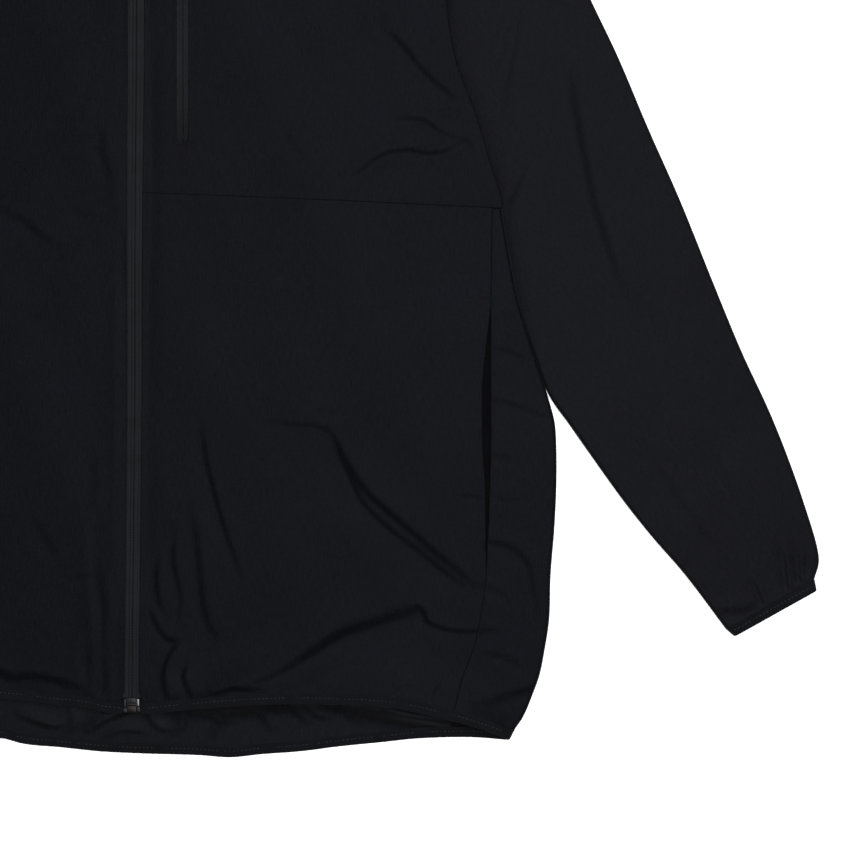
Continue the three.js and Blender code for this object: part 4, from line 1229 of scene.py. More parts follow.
LEFT_SLEEVE_CREASES = [
    Crease(0.0026, 0.0036, 0.020, [
        (0.305, 0.495, 0), (0.308, 0.462, 0.8), (0.315, 0.425, 1), (0.322, 0.391, 1),
        (0.335, 0.349, 0.9), (0.354, 0.298, 0),
    ]),
    Crease(0.0024, 0.0100, 0.030, [
        (0.352, 0.345, 0), (0.359, 0.327, 0.9), (0.371, 0.295, 1), (0.380, 0.268, 1),
        (0.388, 0.228, 0.4), (0.393, 0.205, 0),
    ]),
    Crease(0.0009, 0.0020, 0.010, [
        (0.271, 0.525, 0), (0.269, 0.505, 0.8), (0.263, 0.474, 1), (0.259, 0.440, 0),
    ]),
    Crease(0.0009, 0.0016, 0.007, [(0.279, 0.416, 0), (0.271, 0.403, 1), (0.263, 0.386, 0.6)]),
    Crease(0.0010, 0.0030, 0.014, [
        (0.402, 0.232, 0), (0.415, 0.196, 1), (0.430, 0.163, 0.8), (0.441, 0.140, 0.3),
    ]),
    Crease(0.0009, 0.0030, 0.014, [
        (0.352, 0.232, 0), (0.372, 0.196, 1), (0.398, 0.160, 0.9), (0.420, 0.132, 0.4),
    ]),
    Crease(0.0012, 0.0010, 0.005, [(0.452, 0.152, 0), (0.456, 0.138, 1), (0.458, 0.119, 0.9)]),
    Crease(0.0012, 0.0009, 0.005, [(0.463, 0.155, 0), (0.466, 0.140, 1), (0.467, 0.123, 0.9)]),
    Crease(0.0010, 0.0009, 0.004, [(0.472, 0.150, 0), (0.473, 0.138, 1), (0.472, 0.127, 0.7)]),
    Crease(0.0016, 0.0013, 0.006, [
        (0.404, 0.098, 0), (0.414, 0.102, 1), (0.428, 0.103, 1), (0.440, 0.110, 0),
    ]),
    Crease(0.0010, 0.0010, 0.005, [(0.432, 0.128, 0), (0.437, 0.118, 1), (0.441, 0.107, 0.8)]),
]
SLEEVE_STEPS = {"left": (0.0023, 86), "right": (0.0034, 58)}
SLEEVE_UNDER_COLUMNS = 44
SLEEVE_UNDER_SHARE = 0.6
SLEEVE_SWELLS = 0.21

section_spans = [
    (math.dist(a[:2], b[:2]) + math.dist(a[2:4], b[2:4])) / 2
    for a, b in zip(SLEEVE_SECTIONS, SLEEVE_SECTIONS[1:])
]
section_run = np.concatenate([[0], np.cumsum(section_spans)])
section_lines = [line([(run, row[k]) for run, row in zip(section_run, SLEEVE_SECTIONS)]) for k in range(5)]
beside_body_sink = line(BESIDE_BODY_SINK)
sleeve_reach = SHOULDER[1] - SLEEVE_SECTIONS[0][3]


def armhole_bow(share):
    """How far the armhole bows in from the straight line between its two ends."""
    place = armhole(SHOULDER[1] - share * sleeve_reach)
    ends = armhole(np.array([SHOULDER[1], SHOULDER[1] - sleeve_reach]))
    return place - mix(ends[0], ends[1], share)


def sleeve_top(x, y, creases):
    body = np.where(y > ARMHOLE_FOOT, armhole(y), body_side(y))
    sink = beside_body_sink(y) * np.exp(-np.clip(np.abs(x) - body, 0, None) / BESIDE_BODY_REACH)
    return HEIGHT + swells(x + SLEEVE_SWELLS, y) + relief(x, y, creases) - sink


def tube_faces(sections, shares, side, thickness, top_height, under_height, sewn_end=False):
    """Outer and inner face of a flattened tube. sections gives its folds and bow, row by row."""
    outer_x, outer_y, under_x, under_y, bow = (column[:, None] for column in sections)
    width = np.hypot(under_x - outer_x, under_y - outer_y)
    length = np.hypot(*np.diff([(outer_x + under_x)[:, 0] / 2, (outer_y + under_y)[:, 0] / 2]))
    run = np.append(0, np.cumsum(length))[:, None]
    ends = np.minimum(run, run[-1] - run)

    def plan(share):
        x = mix(outer_x, under_x, share) + bow * armhole_bow(share)
        return side * x, mix(outer_y, under_y, share)

    margin = FOLD_REACH / width
    flats = [mix(margin, 1 - margin, places[None]) for places in (shares[0], shares[1][::-1])]
    tops, unders = top_height(*plan(flats[0])), under_height(*plan(flats[1]))
    if sewn_end:
        tops = tops - dip(run)
    faces = []
    for inner in (False, True):
        depth = rounding(ends, thickness)
        if inner:
            depth = thickness - depth
        inset, under_fold = fold(tops[:, -1:], unders[:, :1], depth)
        outer_fold = fold(tops[:, :1], unders[:, -1:], depth)[1][:, ::-1]
        share = [flats[0], 1 - inset / width, flats[1], inset[:, ::-1] / width]
        height = [tops - depth, under_fold, unders + depth, outer_fold]
        x, y = plan(np.hstack(share))
        faces.append(joined(x, y, np.hstack(height)))
    return faces


# Tones of the sleeves' shell: cool, warm and deep, lighter than the body's as painted light, where the
# sleeves are lit brighter than the body
SLEEVE_PAINTED_LIGHT_TONES = (0.0039, 0.0040, 0.0055, 1), (0.0047, 0.0043, 0.0052, 1), (0.0018, 0.0019, 0.0027, 1)
SLEEVE_CREASES = {"left": LEFT_SLEEVE_CREASES, "right": mirrored(LEFT_SLEEVE_CREASES, (0, 0.006), 0.9)}
sleeve_shell = {
    "left": shell_finish("shell_cloth_left_sleeve_painted_light", math.radians(-24), SLEEVE_PAINTED_LIGHT_TONES),
    "right": shell_finish("shell_cloth_right_sleeve_painted_light", math.radians(24), SLEEVE_PAINTED_LIGHT_TONES),
}
for word, side in SIDES:
    step, top_columns = SLEEVE_STEPS[word]
    creases = SLEEVE_CREASES[word]
    run = section_run[-1] * steps(section_run[-1], step)
    sections = [section(run) for section in section_lines]
    sections[2] = sections[2] - TUCK * smooth((sections[3] - TUCK_ENDS[0]) / (TUCK_ENDS[1] - TUCK_ENDS[0]))
    sections[0] = sections[0] - 2 * SEAM_LAP
    sleeve_faces = tube_faces(
        sections=sections,
        shares=(np.linspace(0, 1, top_columns), np.linspace(0, 1, SLEEVE_UNDER_COLUMNS)),
        side=side,
        thickness=CLOTH,
        top_height=lambda x, y: sleeve_top(x, y, creases),
        under_height=lambda x, y: SLEEVE_UNDER_SHARE * np.maximum(-relief(x, y, creases), 0),
        sewn_end=True,
    )
    sleeve = wall(f"{word}_sleeve_cloth", *sleeve_faces, ring=True)
    sleeve.data.materials.append(sleeve_shell[word])
    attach(sleeve, "jacket")
    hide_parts(f"{word}_sleeve")


# ======================================================================
# Collar
# A band of softshell sewn round the neck. It lies flat with the jacket, folded at both sides of the
# neck, and the zip runs to its upper edge.
# ======================================================================

COLLAR_STEP = 0.0032
COLLAR_HEIGHT = 0.062
COLLAR_SIDE_HEIGHT = 0.060
COLLAR_FRONT_HEIGHT = [(0, COLLAR_HEIGHT), (NECK[0], COLLAR_SIDE_HEIGHT)]
COLLAR_BACK_HEIGHT = [(0, 0.058), (NECK[0], COLLAR_SIDE_HEIGHT)]
COLLAR_TOP_STITCH = 0.0060

# Side fold of the collar, from its seam up: share of its height, x, y
COLLAR_SIDE = [
    (0.0, 0.0760, 0.760),
    (0.5, 0.0785, 0.788),
    (1.0, 0.0800, 0.818),
]
COLLAR_CREASES = [
    Crease(0.0010, 0.0026, 0.014, [
        (0.020, 0.718, 0), (0.038, 0.730, 1), (0.058, 0.752, 0.8), (0.072, 0.778, 0),
    ]),
    Crease(0.0010, 0.0026, 0.014, [
        (-0.070, 0.786, 0), (-0.052, 0.762, 1), (-0.030, 0.738, 1), (-0.016, 0.728, 0),
    ]),
    Crease(0.0009, 0.0030, 0.016, [(-0.040, 0.775, 0), (-0.030, 0.750, 1), (-0.024, 0.725, 0)]),
]

collar_side_x, collar_side_y = line(COLLAR_SIDE), line(COLLAR_SIDE, 2)
collar_front_rise, collar_back_rise = line(COLLAR_FRONT_HEIGHT), line(COLLAR_BACK_HEIGHT)
collar_share = steps(COLLAR_SIDE_HEIGHT, COLLAR_STEP)[:, None]
collar_side = collar_side_x(collar_share)
collar_scale = collar_side / NECK[0]


def collar_line(seam_x, neck, rise):
    """Points of the collar's flat part over each x of the neck seam, row by row."""
    y = neck(np.abs(seam_x)) + NECK_GAP / 2 + collar_share * rise(np.abs(seam_x))
    return seam_x * collar_scale, y


def collar_faces():
    flat_end = NECK[0] - FOLD_REACH
    shares = steps(flat_end, COLLAR_STEP, end=False)[None]
    left_seam = mix(left_opening(NECK_FRONT[0][1]), flat_end, shares)
    right_seam = -mix(right_opening(NECK_FRONT[0][1]), flat_end, shares)[:, ::-1]
    back_seam = np.linspace(flat_end, -flat_end, int(2 * flat_end / COLLAR_STEP))[None]
    parts = [
        collar_line(left_seam, neck_front, collar_front_rise),
        collar_line(back_seam, neck_back, collar_back_rise),
        collar_line(right_seam, neck_front, collar_front_rise),
    ]
    ends = np.minimum(collar_share, 1 - collar_share) * COLLAR_HEIGHT
    from_zip = [parts[0][0] - parts[0][0][:, :1], None, parts[2][0][:, -1:] - parts[2][0]]
    sunk = groove((1 - collar_share) * COLLAR_HEIGHT, COLLAR_TOP_STITCH) + dip(collar_share * COLLAR_HEIGHT)
    tops = []
    for k in (0, 2):
        x, y = parts[k]
        level = HEIGHT + relief(x, y, COLLAR_CREASES) + swells(x, y)
        tops.append(level - (sunk + groove(from_zip[k], ZIP_STITCH_INSET)))
    faces = []
    for inner in (False, True):
        draws = [rounding(np.minimum(ends, gap) if gap is not None else ends) for gap in from_zip]
        if inner:
            draws = [CLOTH - draw for draw in draws]
        zero = np.zeros((len(collar_share), 1))
        left_inset, left_height = fold(tops[0][:, -1:], zero, draws[1])
        right_inset, right_height = fold(tops[1][:, :1], zero, draws[1])
        side_y = np.repeat(collar_side_y(collar_share), len(fold_turns), axis=1)
        back_height = np.repeat(draws[1], back_seam.shape[1], axis=1)
        side_x = collar_side - left_inset, (right_inset - collar_side)[:, ::-1]
        x = [parts[0][0], side_x[0], parts[1][0], side_x[1], parts[2][0]]
        y = [parts[0][1], side_y, parts[1][1], side_y, parts[2][1]]
        z = [tops[0] - draws[0], left_height, back_height, right_height[:, ::-1], tops[1] - draws[2]]
        faces.append(joined(np.hstack(x), np.hstack(y), np.hstack(z)))
    return faces


collar = wall("collar_cloth", *collar_faces())
collar.data.materials.append(body_shell)
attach(collar, "jacket")
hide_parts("collar")


# ======================================================================
# Hem and cuffs
# A narrow folded band of soft elastic is sewn to the hem and to each wrist. It gathers the shell a
# little, and a row of stitches runs along its sewn edge.
# ======================================================================

BINDING_CLOTH = 0.0018
BINDING_PROUD = 0.0003
BINDING_STEP = 0.0024
BINDING_ROWS = 0.00075
BINDING_STITCH_INSET = 0.0032
HEM_RISE_AT_SIDE = 0.0075
HEM_HALF = 0.26
RIPPLE = 0.00016
WIDE_GATHERS = (0.0071, 0.043)
NARROW_GATHERS = (0.0043, 0.029)
BACK_GATHERS = 0.4
RIB_PITCH = 0.0009
ELASTIC_DARK = (0.0020, 0.0021, 0.0030, 1)
ELASTIC_LIGHT = (0.0042, 0.0044, 0.0062, 1)
ZIP_BOX_WIDTH = 0.012

elastic, elastic_place, elastic_surface = new_finish("elastic_band", {
    "Roughness": 0.7,
    "Specular IOR Level": 0.04,
    "Sheen Weight": 0.03,
})
elastic_x, elastic_y = turned(elastic_place, 0)[1:]
elastic_loops = elastic_x.wave(RIB_PITCH) * elastic_y.wave(0.8 * RIB_PITCH)
elastic_tone = elastic_place.noise(90.0)
connect(
    elastic_surface,
    Base_Color=(elastic_loops * 0.3 + elastic_tone).blend(ELASTIC_DARK, ELASTIC_LIGHT),
    Normal=elastic_loops.bump(0.6, 0.00015),
)


def ripple(run):
    """Small uneven gathers along an elastic band."""
    wide = np.sin(run / WIDE_GATHERS[0] * 2 * math.pi + 1.7 * np.sin(run / WIDE_GATHERS[1]))
    narrow = np.sin(run / NARROW_GATHERS[0] * 2 * math.pi + 2.3 * np.sin(run / NARROW_GATHERS[1] + 1))
    return RIPPLE * (wide + 0.6 * narrow)


def hem_faces():
    """Outer and inner face of the hem band, from the zip round the back to the zip again."""
    share = steps(BINDING_WIDTH, BINDING_ROWS)[:, None]
    rise = share * BINDING_WIDTH
    long_edges = np.minimum(rise, BINDING_WIDTH - rise)
    corner_x = mix(BODY_SIDE[0][1], float(body_side(BODY_SIDE[0][0] + HEM_RISE_AT_SIDE)), share)
    corner_y = BODY_SIDE[0][0] + share * HEM_RISE_AT_SIDE
    flat_end = corner_x - FOLD_REACH
    faces = []
    runs = np.linspace(0, 1, int(HEM_HALF / BINDING_STEP))[None]
    back_runs = np.linspace(1, -1, int(2 * HEM_HALF / BINDING_STEP))[None]
    start = {side: ZIP_BOX_WIDTH / 2 + SEAM + side * float(zip_x(BOX_BOTTOM_Y)) for side in (1, -1)}
    for inner in (False, True):
        x, y, z = [], [], []
        for side in (1, 0, -1):
            if side == 0:
                flat_x = back_runs * flat_end
                flat_y = back_hem_edge(flat_x) + rise
                under = back_under(flat_x, flat_y) - np.minimum(ripple(flat_x), 0)
                depth = rounding(long_edges, BINDING_CLOTH)
                depth = BINDING_CLOTH + ripple(flat_x + BACK_GATHERS) - depth if inner else depth
                x.append(flat_x)
                y.append(flat_y)
                z.append(under + depth)
                continue
            flat_x = side * mix(start[side], flat_end, runs)
            flat_y = front_hem_edge(flat_x) + rise
            edge = np.minimum(long_edges, np.abs(flat_x) - start[side])
            top = front_top(flat_x, flat_y) + BINDING_PROUD + ripple(flat_x)
            top = top - groove(BINDING_WIDTH - rise, BINDING_STITCH_INSET)
            depth = rounding(edge, BINDING_CLOTH)
            fold_depth = rounding(long_edges, BINDING_CLOTH)
            if inner:
                depth, fold_depth = BINDING_CLOTH - depth, BINDING_CLOTH - fold_depth
            inset, fold_height = fold(top[:, -1:], np.zeros_like(rise), fold_depth)
            fold_x, fold_y = side * (corner_x - inset), corner_y + 0 * inset
            part = [flat_x, fold_x], [flat_y, fold_y], [top - depth, fold_height]
            for places, pieces in zip((x, y, z), part):
                places.extend(pieces if side > 0 else [piece[:, ::-1] for piece in reversed(pieces)])
        faces.append(joined(np.hstack(x), np.hstack(y), np.hstack(z)))
    return faces


hem = wall("hem_elastic", *hem_faces())
hem.data.materials.append(elastic)
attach(hem, "jacket")
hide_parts("hem_binding")

# Wrist bands
cuff_share = steps(BINDING_WIDTH, BINDING_ROWS)
CUFF_COLUMNS = 30

# From the sleeve's end to the free edge: x and y on the outer fold, x and y on the underarm fold, bow
CUFF_SECTIONS = [
    (0.4773, 0.1245, 0.4151, 0.0893, 0),
    (0.4788, 0.1165, 0.4211, 0.0842, 0),
]

for word, side in SIDES:
    creases = SLEEVE_CREASES[word]
    cuff_rows = [mix(a, b, cuff_share) for a, b in zip(*CUFF_SECTIONS)]
    cuff_faces = tube_faces(
        sections=cuff_rows,
        shares=(np.linspace(0, 1, CUFF_COLUMNS), np.linspace(0, 1, CUFF_COLUMNS)),
        side=side,
        thickness=BINDING_CLOTH,
        top_height=lambda x, y: sleeve_top(x, y, creases) + BINDING_PROUD + ripple(x),
        under_height=lambda x, y: np.maximum(ripple(x + y), 0),
    )
    cuff = wall(f"{word}_cuff_elastic", *cuff_faces, ring=True)
    cuff.data.materials.append(elastic)
    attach(cuff, "jacket")
    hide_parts(f"{word}_cuff_binding")


# ======================================================================
# Stitches
# Twisted thread, a little glossier than the cloth: grey along the elastic, black along the folded edges
# of the zips and hand pockets, and plum in the bars that close the pockets' ends and in the box below
# the chest zip.
# ======================================================================

STITCH_PITCH = 0.0029
STITCH_LENGTH = 0.0021
STITCH_WIDTH = 0.00046
STITCH_PROUD = 0.00008
STITCH_STATIONS = np.array([(0, 0.25, -0.00022), (0.3, 1, 0), (0.7, 1, 0), (1, 0.25, -0.00022)])
STITCH_CORNERS = np.array([(1, 0), (0, 1), (-1, 0), (0, -1)])
STITCH_DRAW = 0.00016
DRAW_WAVES = [(1, 410, 0), (1, 173, 1), (0.6, 67, 0)]
HEM_STITCH_HALF = 0.258
HEM_STITCHES_FROM = 0.0085
BACK_STITCH_HALF = 0.250
BACK_DRAW = 0.2
HEM_ROW_POINTS = 700
CUFF_STITCH_ENDS = (0.04, 0.96)
THREAD_SURFACE = {"Roughness": 0.55, "Specular IOR Level": 0.10}
GREY_THREAD = (0.0090, 0.0094, 0.0110, 1), (0.0400, 0.0400, 0.0440, 1)
POCKET_BAR_Y = (0.1211, 0.3210)
POCKET_BAR_LENGTH = 0.0092
POCKET_BAR_START = 0.0004
BAR_SPACING = 0.0006
CHEST_BOX_ROWS = np.linspace(0.4285, 0.4185, 15)
CHEST_BOX_HALF_WIDTH = 0.0046
BOX_SINK = 0.00010
PLUM_THREAD = (0.0050, 0.0030, 0.0050, 1), (0.0086, 0.0056, 0.0088, 1)
TAPE_THREAD = (0.0036, 0.0040, 0.0052, 1), (0.0068, 0.0074, 0.0092, 1)
BLACK_THREAD = (0.0026, 0.0028, 0.0040, 1), (0.0070, 0.0072, 0.0090, 1)


def thread_finish(name, dark, light):
    """Twisted thread, lighter on some stitches than on others."""
    material, place, surface = new_finish(name, THREAD_SURFACE)
    x, y = turned(place, math.radians(35))[1:]
    twist = (x + y).wave(0.0004)
    tone = place.noise(260.0) + twist * 0.1
    connect(surface, Base_Color=tone.blend(dark, light), Normal=twist.bump(0.4, 0.00006))
    return material


grey_thread = thread_finish("grey_thread", *GREY_THREAD)
black_thread = thread_finish("black_thread", *BLACK_THREAD)
plum_thread = thread_finish("plum_thread", *PLUM_THREAD)
tape_thread = thread_finish("tape_thread", *TAPE_THREAD)


def stitches(name, rows, thread, pitch=STITCH_PITCH, length=STITCH_LENGTH, width=STITCH_WIDTH):
    """One object from the stitches along rows of points on the cloth."""
    points = []
    for row in rows:
        row = np.array(row, dtype=float)
        run = np.append(0, np.cumsum(np.linalg.norm(np.diff(row, axis=0), axis=1)))
        starts = np.arange(0.3 * pitch, run[-1] - length, pitch)
        places = starts[:, None] + length * STITCH_STATIONS[None, :, 0]
        middle = joined(*[np.interp(places, run, column) for column in row.T])
        way = middle[:, -1:] - middle[:, :1]
        way = way / np.linalg.norm(way, axis=-1, keepdims=True)
        aside = joined(-way[..., 1], way[..., 0], 0)
        middle = middle + STITCH_STATIONS[None, :, 2:] * [0, 0, 1] + [0, 0, STITCH_PROUD]
        girth = STITCH_STATIONS[None, :, 1, None, None] * width / 2
        sideways, upright = STITCH_CORNERS[None, None, :, :1], STITCH_CORNERS[None, None, :, 1:]
        ring = aside[:, :, None] * sideways + [0, 0, 1] * upright
        points.append((middle[:, :, None] + girth * ring).reshape(-1, 3))
    points = np.concatenate(points)
    corners = len(STITCH_CORNERS)
    each = corners * len(STITCH_STATIONS)
    last = each - corners
    around = []
    for low in range(0, last, corners):
        for j in range(corners):
            after = (j + 1) % corners
            around.append((low + j, low + after, low + corners + after, low + corners + j))
    around += [(3, 2, 1, 0), (last, last + 1, last + 2, last + 3)]
    faces = (np.arange(len(points) // each) * each)[:, None, None] + np.array(around)[None]
    made = mesh_object(name, points, faces.reshape(-1, 4))
    made.data.materials.append(thread)
    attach(made, "jacket")
    return made


def drawn_in(run):
    """How far the elastic swallows some of its stitches."""
    pull = sum(share * np.sin(run * turns + phase) for share, turns, phase in DRAW_WAVES)
    return STITCH_DRAW * np.clip(pull, 0, None)


def on_front(x, y, sunk=0.0):
    """Points on the fronts' outside."""
    return joined(x, y, front_top(x, y) - sunk)


hem_x = np.linspace(-HEM_STITCH_HALF, HEM_STITCH_HALF, HEM_ROW_POINTS)
hem_stitch_y = front_hem_edge(hem_x) + BINDING_WIDTH - BINDING_STITCH_INSET
hem_row = on_front(hem_x, hem_stitch_y) + [0, 0, BINDING_PROUD - STITCH_SINK]
hem_row[:, 2] += ripple(hem_x) - drawn_in(hem_x)
back_x = np.linspace(-BACK_STITCH_HALF, BACK_STITCH_HALF, HEM_ROW_POINTS)
back_stitch_y = back_hem_edge(back_x) + BINDING_WIDTH - BINDING_STITCH_INSET
back_stitch_z = back_under(back_x, back_stitch_y) + BINDING_CLOTH + ripple(back_x + BACK_GATHERS)
back_row = joined(back_x, back_stitch_y, back_stitch_z - drawn_in(back_x + BACK_DRAW))
stitches("hem_stitches", [
    hem_row[hem_x < -HEM_STITCHES_FROM],
    hem_row[hem_x > HEM_STITCHES_FROM],
    back_row,
], grey_thread)

for word, side in SIDES:
    share = np.linspace(*CUFF_STITCH_ENDS, 60)
    ends = [mix(a, b, BINDING_STITCH_INSET / BINDING_WIDTH) for a, b in zip(*CUFF_SECTIONS)]
    x, y = mix(ends[0], ends[2], share), mix(ends[1], ends[3], share)
    z = sleeve_top(side * x, y, SLEEVE_CREASES[word]) + BINDING_PROUD + ripple(side * x) - drawn_in(x)
    stitches(f"{word}_cuff_stitches", [joined(side * x, y, z)], grey_thread)

# Along the folded edges of the chest zip's slot and of the hand pockets
round_slot = SLOT_RADIUS + POCKET_STITCH_INSET
turn = np.linspace(0, math.pi, 24)
slot_up = np.linspace(SLOT_BOTTOM, SLOT_TOP, 160)
slot_x = np.concatenate([
    0 * slot_up - round_slot,
    -round_slot * np.cos(turn),
    0 * slot_up + round_slot,
    round_slot * np.cos(turn),
])
slot_y = np.concatenate([
    slot_up[::-1],
    SLOT_BOTTOM - round_slot * np.sin(turn),
    slot_up,
    SLOT_TOP + round_slot * np.sin(turn),
])
pocket_y = np.linspace(*POCKET_BAR_Y, 300)
pocket_x = slot_edge(pocket_y) - POCKET_STITCH_INSET
stitches("pocket_edge_stitches", [
    on_front(CHEST_ZIP_X + slot_x, slot_y, STITCH_SINK),
    on_front(pocket_x, pocket_y, STITCH_SINK),
    on_front(-pocket_x, pocket_y, STITCH_SINK),
], black_thread)

# Bars of thread at the ends of the hand pockets, and a sewn box below the chest zip
bars = []
for y in POCKET_BAR_Y:
    for step in np.arange(-2, 3) * BAR_SPACING:
        ends = slot_edge(y) - np.linspace(POCKET_BAR_LENGTH, POCKET_BAR_START, 30)
        bars += [on_front(side * ends, y + step + 0 * ends) for side in (1, -1)]
box_rows = []
for y in CHEST_BOX_ROWS:
    box_x = CHEST_ZIP_X + CHEST_BOX_HALF_WIDTH * np.linspace(-1, 1, 40)
    box_rows.append(on_front(box_x, y + 0 * box_x, BOX_SINK))
stitches("thread_bars", bars, plum_thread, pitch=0.0011, length=0.0010, width=0.00036)
stitches("thread_box", box_rows, plum_thread, pitch=0.00115, length=0.00112, width=0.00046)


# ======================================================================
# Main zip
# A coil zip sewn in with its coil inside, so that its face is two ribbed woven tapes that meet in a
# narrow dark slit. Its foot is a small metal box, and two metal stops hold the slider at the top.
# ======================================================================

TAPE_THICKNESS = 0.0010
TAPE_STEP = 0.0035
ZIP_STITCH_ENDS = (0.041, 0.700)
TAPE_HALF_GAP = 0.00008
TAPE_PARTED_GAP = 0.0012
TAPE_TOP = HEIGHT - CLOTH - SEAM
BOX_LENGTH = 0.012
TAPE_INTO_BOX = 0.0010
TAPE_DARK = (0.0034, 0.0037, 0.0047, 1)
TAPE_LIGHT = (0.0078, 0.0083, 0.0103, 1)
TAPE_RIB_PITCH = 0.0011
TAPE_THREAD_PITCH = 0.0005

# Face of one tape from its inner edge outwards: place across it, height over its flat
TAPE_PROFILE = [
    (0.0000, -0.00012),
    (0.0002, 0.00004),
    (0.0006, 0.00024),
    (0.0012, 0.00038),
    (0.0018, 0.00030),
    (0.0023, 0.00002),
    (0.0027, -0.00022),
    (0.0031, -0.00004),
    (0.0036, 0.00018),
    (0.0041, 0.00014),
    (0.0047, 0.00000),
    (0.0054, -0.00004),
    (0.0064, 0),
    (0.0085, 0),
    (0.0110, 0),
    (0.0130, -0.00030),
]


def tape_finish(name, dark, light, uniform, shine=lambda y: 1):
    """Ribbed woven tape: ribs across it, and finer threads along it. Where shine falls below 1, its tone is
    dimmed towards the dark colour as painted shade.
    """
    material, place, surface = new_finish(name, uniform)
    x, y = turned(place, 0)[1:]
    ribs = y.wave(TAPE_RIB_PITCH) * 0.6 + x.wave(TAPE_THREAD_PITCH) * 0.4
    tone = (ribs * 0.22 + place.noise(70.0)) * shine(y)
    connect(surface, Base_Color=tone.blend(dark, light), Normal=ribs.bump(0.7, 0.00012))
    return material


woven_tape = tape_finish("woven_tape", TAPE_DARK, TAPE_LIGHT, {
    "Roughness": 0.55,
    "Specular IOR Level": 0.07,
})


def tape_edge_height(x, y, edge):
    """How far a front stands over or under its plain height, carried straight in from its folded edge."""
    held = np.where(np.abs(x) < np.abs(edge), edge, x)
    return front_top(held, y) - HEIGHT


def zip_tape(name, side, middle, gap, y, edge, node, material, profile):
    """One tape of a zip: its ribbed face under the front's folded edge. middle, gap and edge are functions
    of y: where the zip runs, how far the tape lies from there, and where the front's edge is."""
    across = np.array(profile)
    x = middle(y)[:, None] + side * (gap(y)[:, None] + across[None, :, 0])
    rows = np.repeat(y[:, None], len(across), axis=1)
    level = TAPE_TOP + tape_edge_height(x, rows, edge(y)[:, None])
    outer = joined(x, rows, level + across[None, :, 1])
    inner = joined(x, rows, level - TAPE_THICKNESS)
    tape = wall(name, outer, inner)
    tape.data.materials.append(material)
    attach(tape, "jacket")
    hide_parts(node)
    return tape


collar_top = NECK_FRONT[0][1] + COLLAR_HEIGHT
slider_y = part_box("main_zip_slider")[0].y - HEM_Y
tape_start = BOX_BOTTOM_Y + BOX_LENGTH - TAPE_INTO_BOX
tape_y = tape_start + (collar_top - tape_start) * steps(collar_top - tape_start, TAPE_STEP)


def parted(y, from_y, over):
    """Distance from the zip's middle to each tape: a slit, and wider where the slider parts them."""
    return mix(TAPE_HALF_GAP, TAPE_PARTED_GAP, smooth((y - from_y - over) / over))


def main_gap(y):
    return parted(y, slider_y, over=0.003)


for word, side in SIDES:
    tape = zip_tape(
        name=f"{word}_zip_tape",
        side=side,
        middle=zip_x,
        gap=main_gap,
        y=tape_y,
        edge=lambda y: zip_x(y) + side * opening_half(y),
        node=f"main_zip_tape_{word}",
        material=woven_tape,
        profile=TAPE_PROFILE,
    )

edge_y = np.linspace(*ZIP_STITCH_ENDS, 900)
stitches("zip_edge_stitches", [
    on_front(side * (opening(side)(edge_y) + ZIP_STITCH_INSET), edge_y, STITCH_SINK) for side in (1, -1)
], black_thread)


# ======================================================================
# Metal of the main zip
# The box at its foot, the two stops, and a cast slider with its pull tab, in worn steel. The box is of
# duller steel darkened as painted shade, with two cheeks, a bar between them, a brass-brown core darkened as
# painted shade and a grey-green tongue; the upper part of its right cheek is bright steel, a painted
# highlight.
# ======================================================================

STEEL = (0.095, 0.094, 0.096, 1)
STEEL_WORN = (0.034, 0.034, 0.036, 1)
# Duller steel of the box, darkened as painted shade
DULL_STEEL_PAINTED_SHADE = (0.0165, 0.0165, 0.0180, 1)
DULL_STEEL_PAINTED_SHADE_WORN = (0.0048, 0.0048, 0.0056, 1)
# Brass of the box's core: its brown is the metal's, and its darkness is painted shade
BRASS_PAINTED_SHADE = (0.0040, 0.0024, 0.0015, 1)
BRASS_PAINTED_SHADE_DARK = (0.0022, 0.0012, 0.0008, 1)
GUNMETAL = (0.0034, 0.0040, 0.0034, 1)
GUNMETAL_DARK = (0.0013, 0.0016, 0.0013, 1)


def metal_finish(name, dark, light, roughness, metallic):
    """Cast metal with fine scuffs and slightly uneven gloss."""
    material, place, surface = new_finish(name, {"Metallic": metallic})
    scuffs = place.spread((900, 3000, 900)).noise(1.0, 4.0)
    patches = place.noise(500.0)
    connect(
        surface,
        Base_Color=(scuffs * 0.5 + patches * 0.5).blend(dark, light),
        Roughness=patches * 0.2 + (roughness - 0.1),
        Normal=scuffs.bump(0.25, 0.00005),
    )
    return material


steel = metal_finish("bright_steel", STEEL_WORN, STEEL, 0.32, 1.0)
dull_steel_painted_shade = metal_finish("dull_steel_painted_shade", DULL_STEEL_PAINTED_SHADE_WORN, DULL_STEEL_PAINTED_SHADE, 0.42, 1.0)
brass_painted_shade = metal_finish("brown_brass_painted_shade", BRASS_PAINTED_SHADE_DARK, BRASS_PAINTED_SHADE, 0.4, 0.8)
gunmetal = metal_finish("grey_green_metal", GUNMETAL_DARK, GUNMETAL, 0.45, 0.7)


def rounded(half_width, low, high, radius, turns=4):
    """Outline of a rounded rectangle across x = 0, anticlockwise."""
    angles = np.linspace(0, math.pi / 2, turns + 1)
    centres = [(half_width - radius, high - radius), (radius - half_width, high - radius)]
    centres += [(radius - half_width, low + radius), (half_width - radius, low + radius)]
    outline = []
    for quarter, (x, y) in enumerate(centres):
        for angle in angles + quarter * math.pi / 2:
            outline.append((x + radius * math.cos(angle), y + radius * math.sin(angle)))
    return outline


# A plate: its outline in x and y, its low and high z, the width of its bevel, its finish's number and how
# far it is moved along x. An upright one is drawn in y and z, and low and high are its x.
Plate = namedtuple("Plate", "outline low high bevel finish aside upright", defaults=(0, 0, False))
RIM_ANGLE = 1


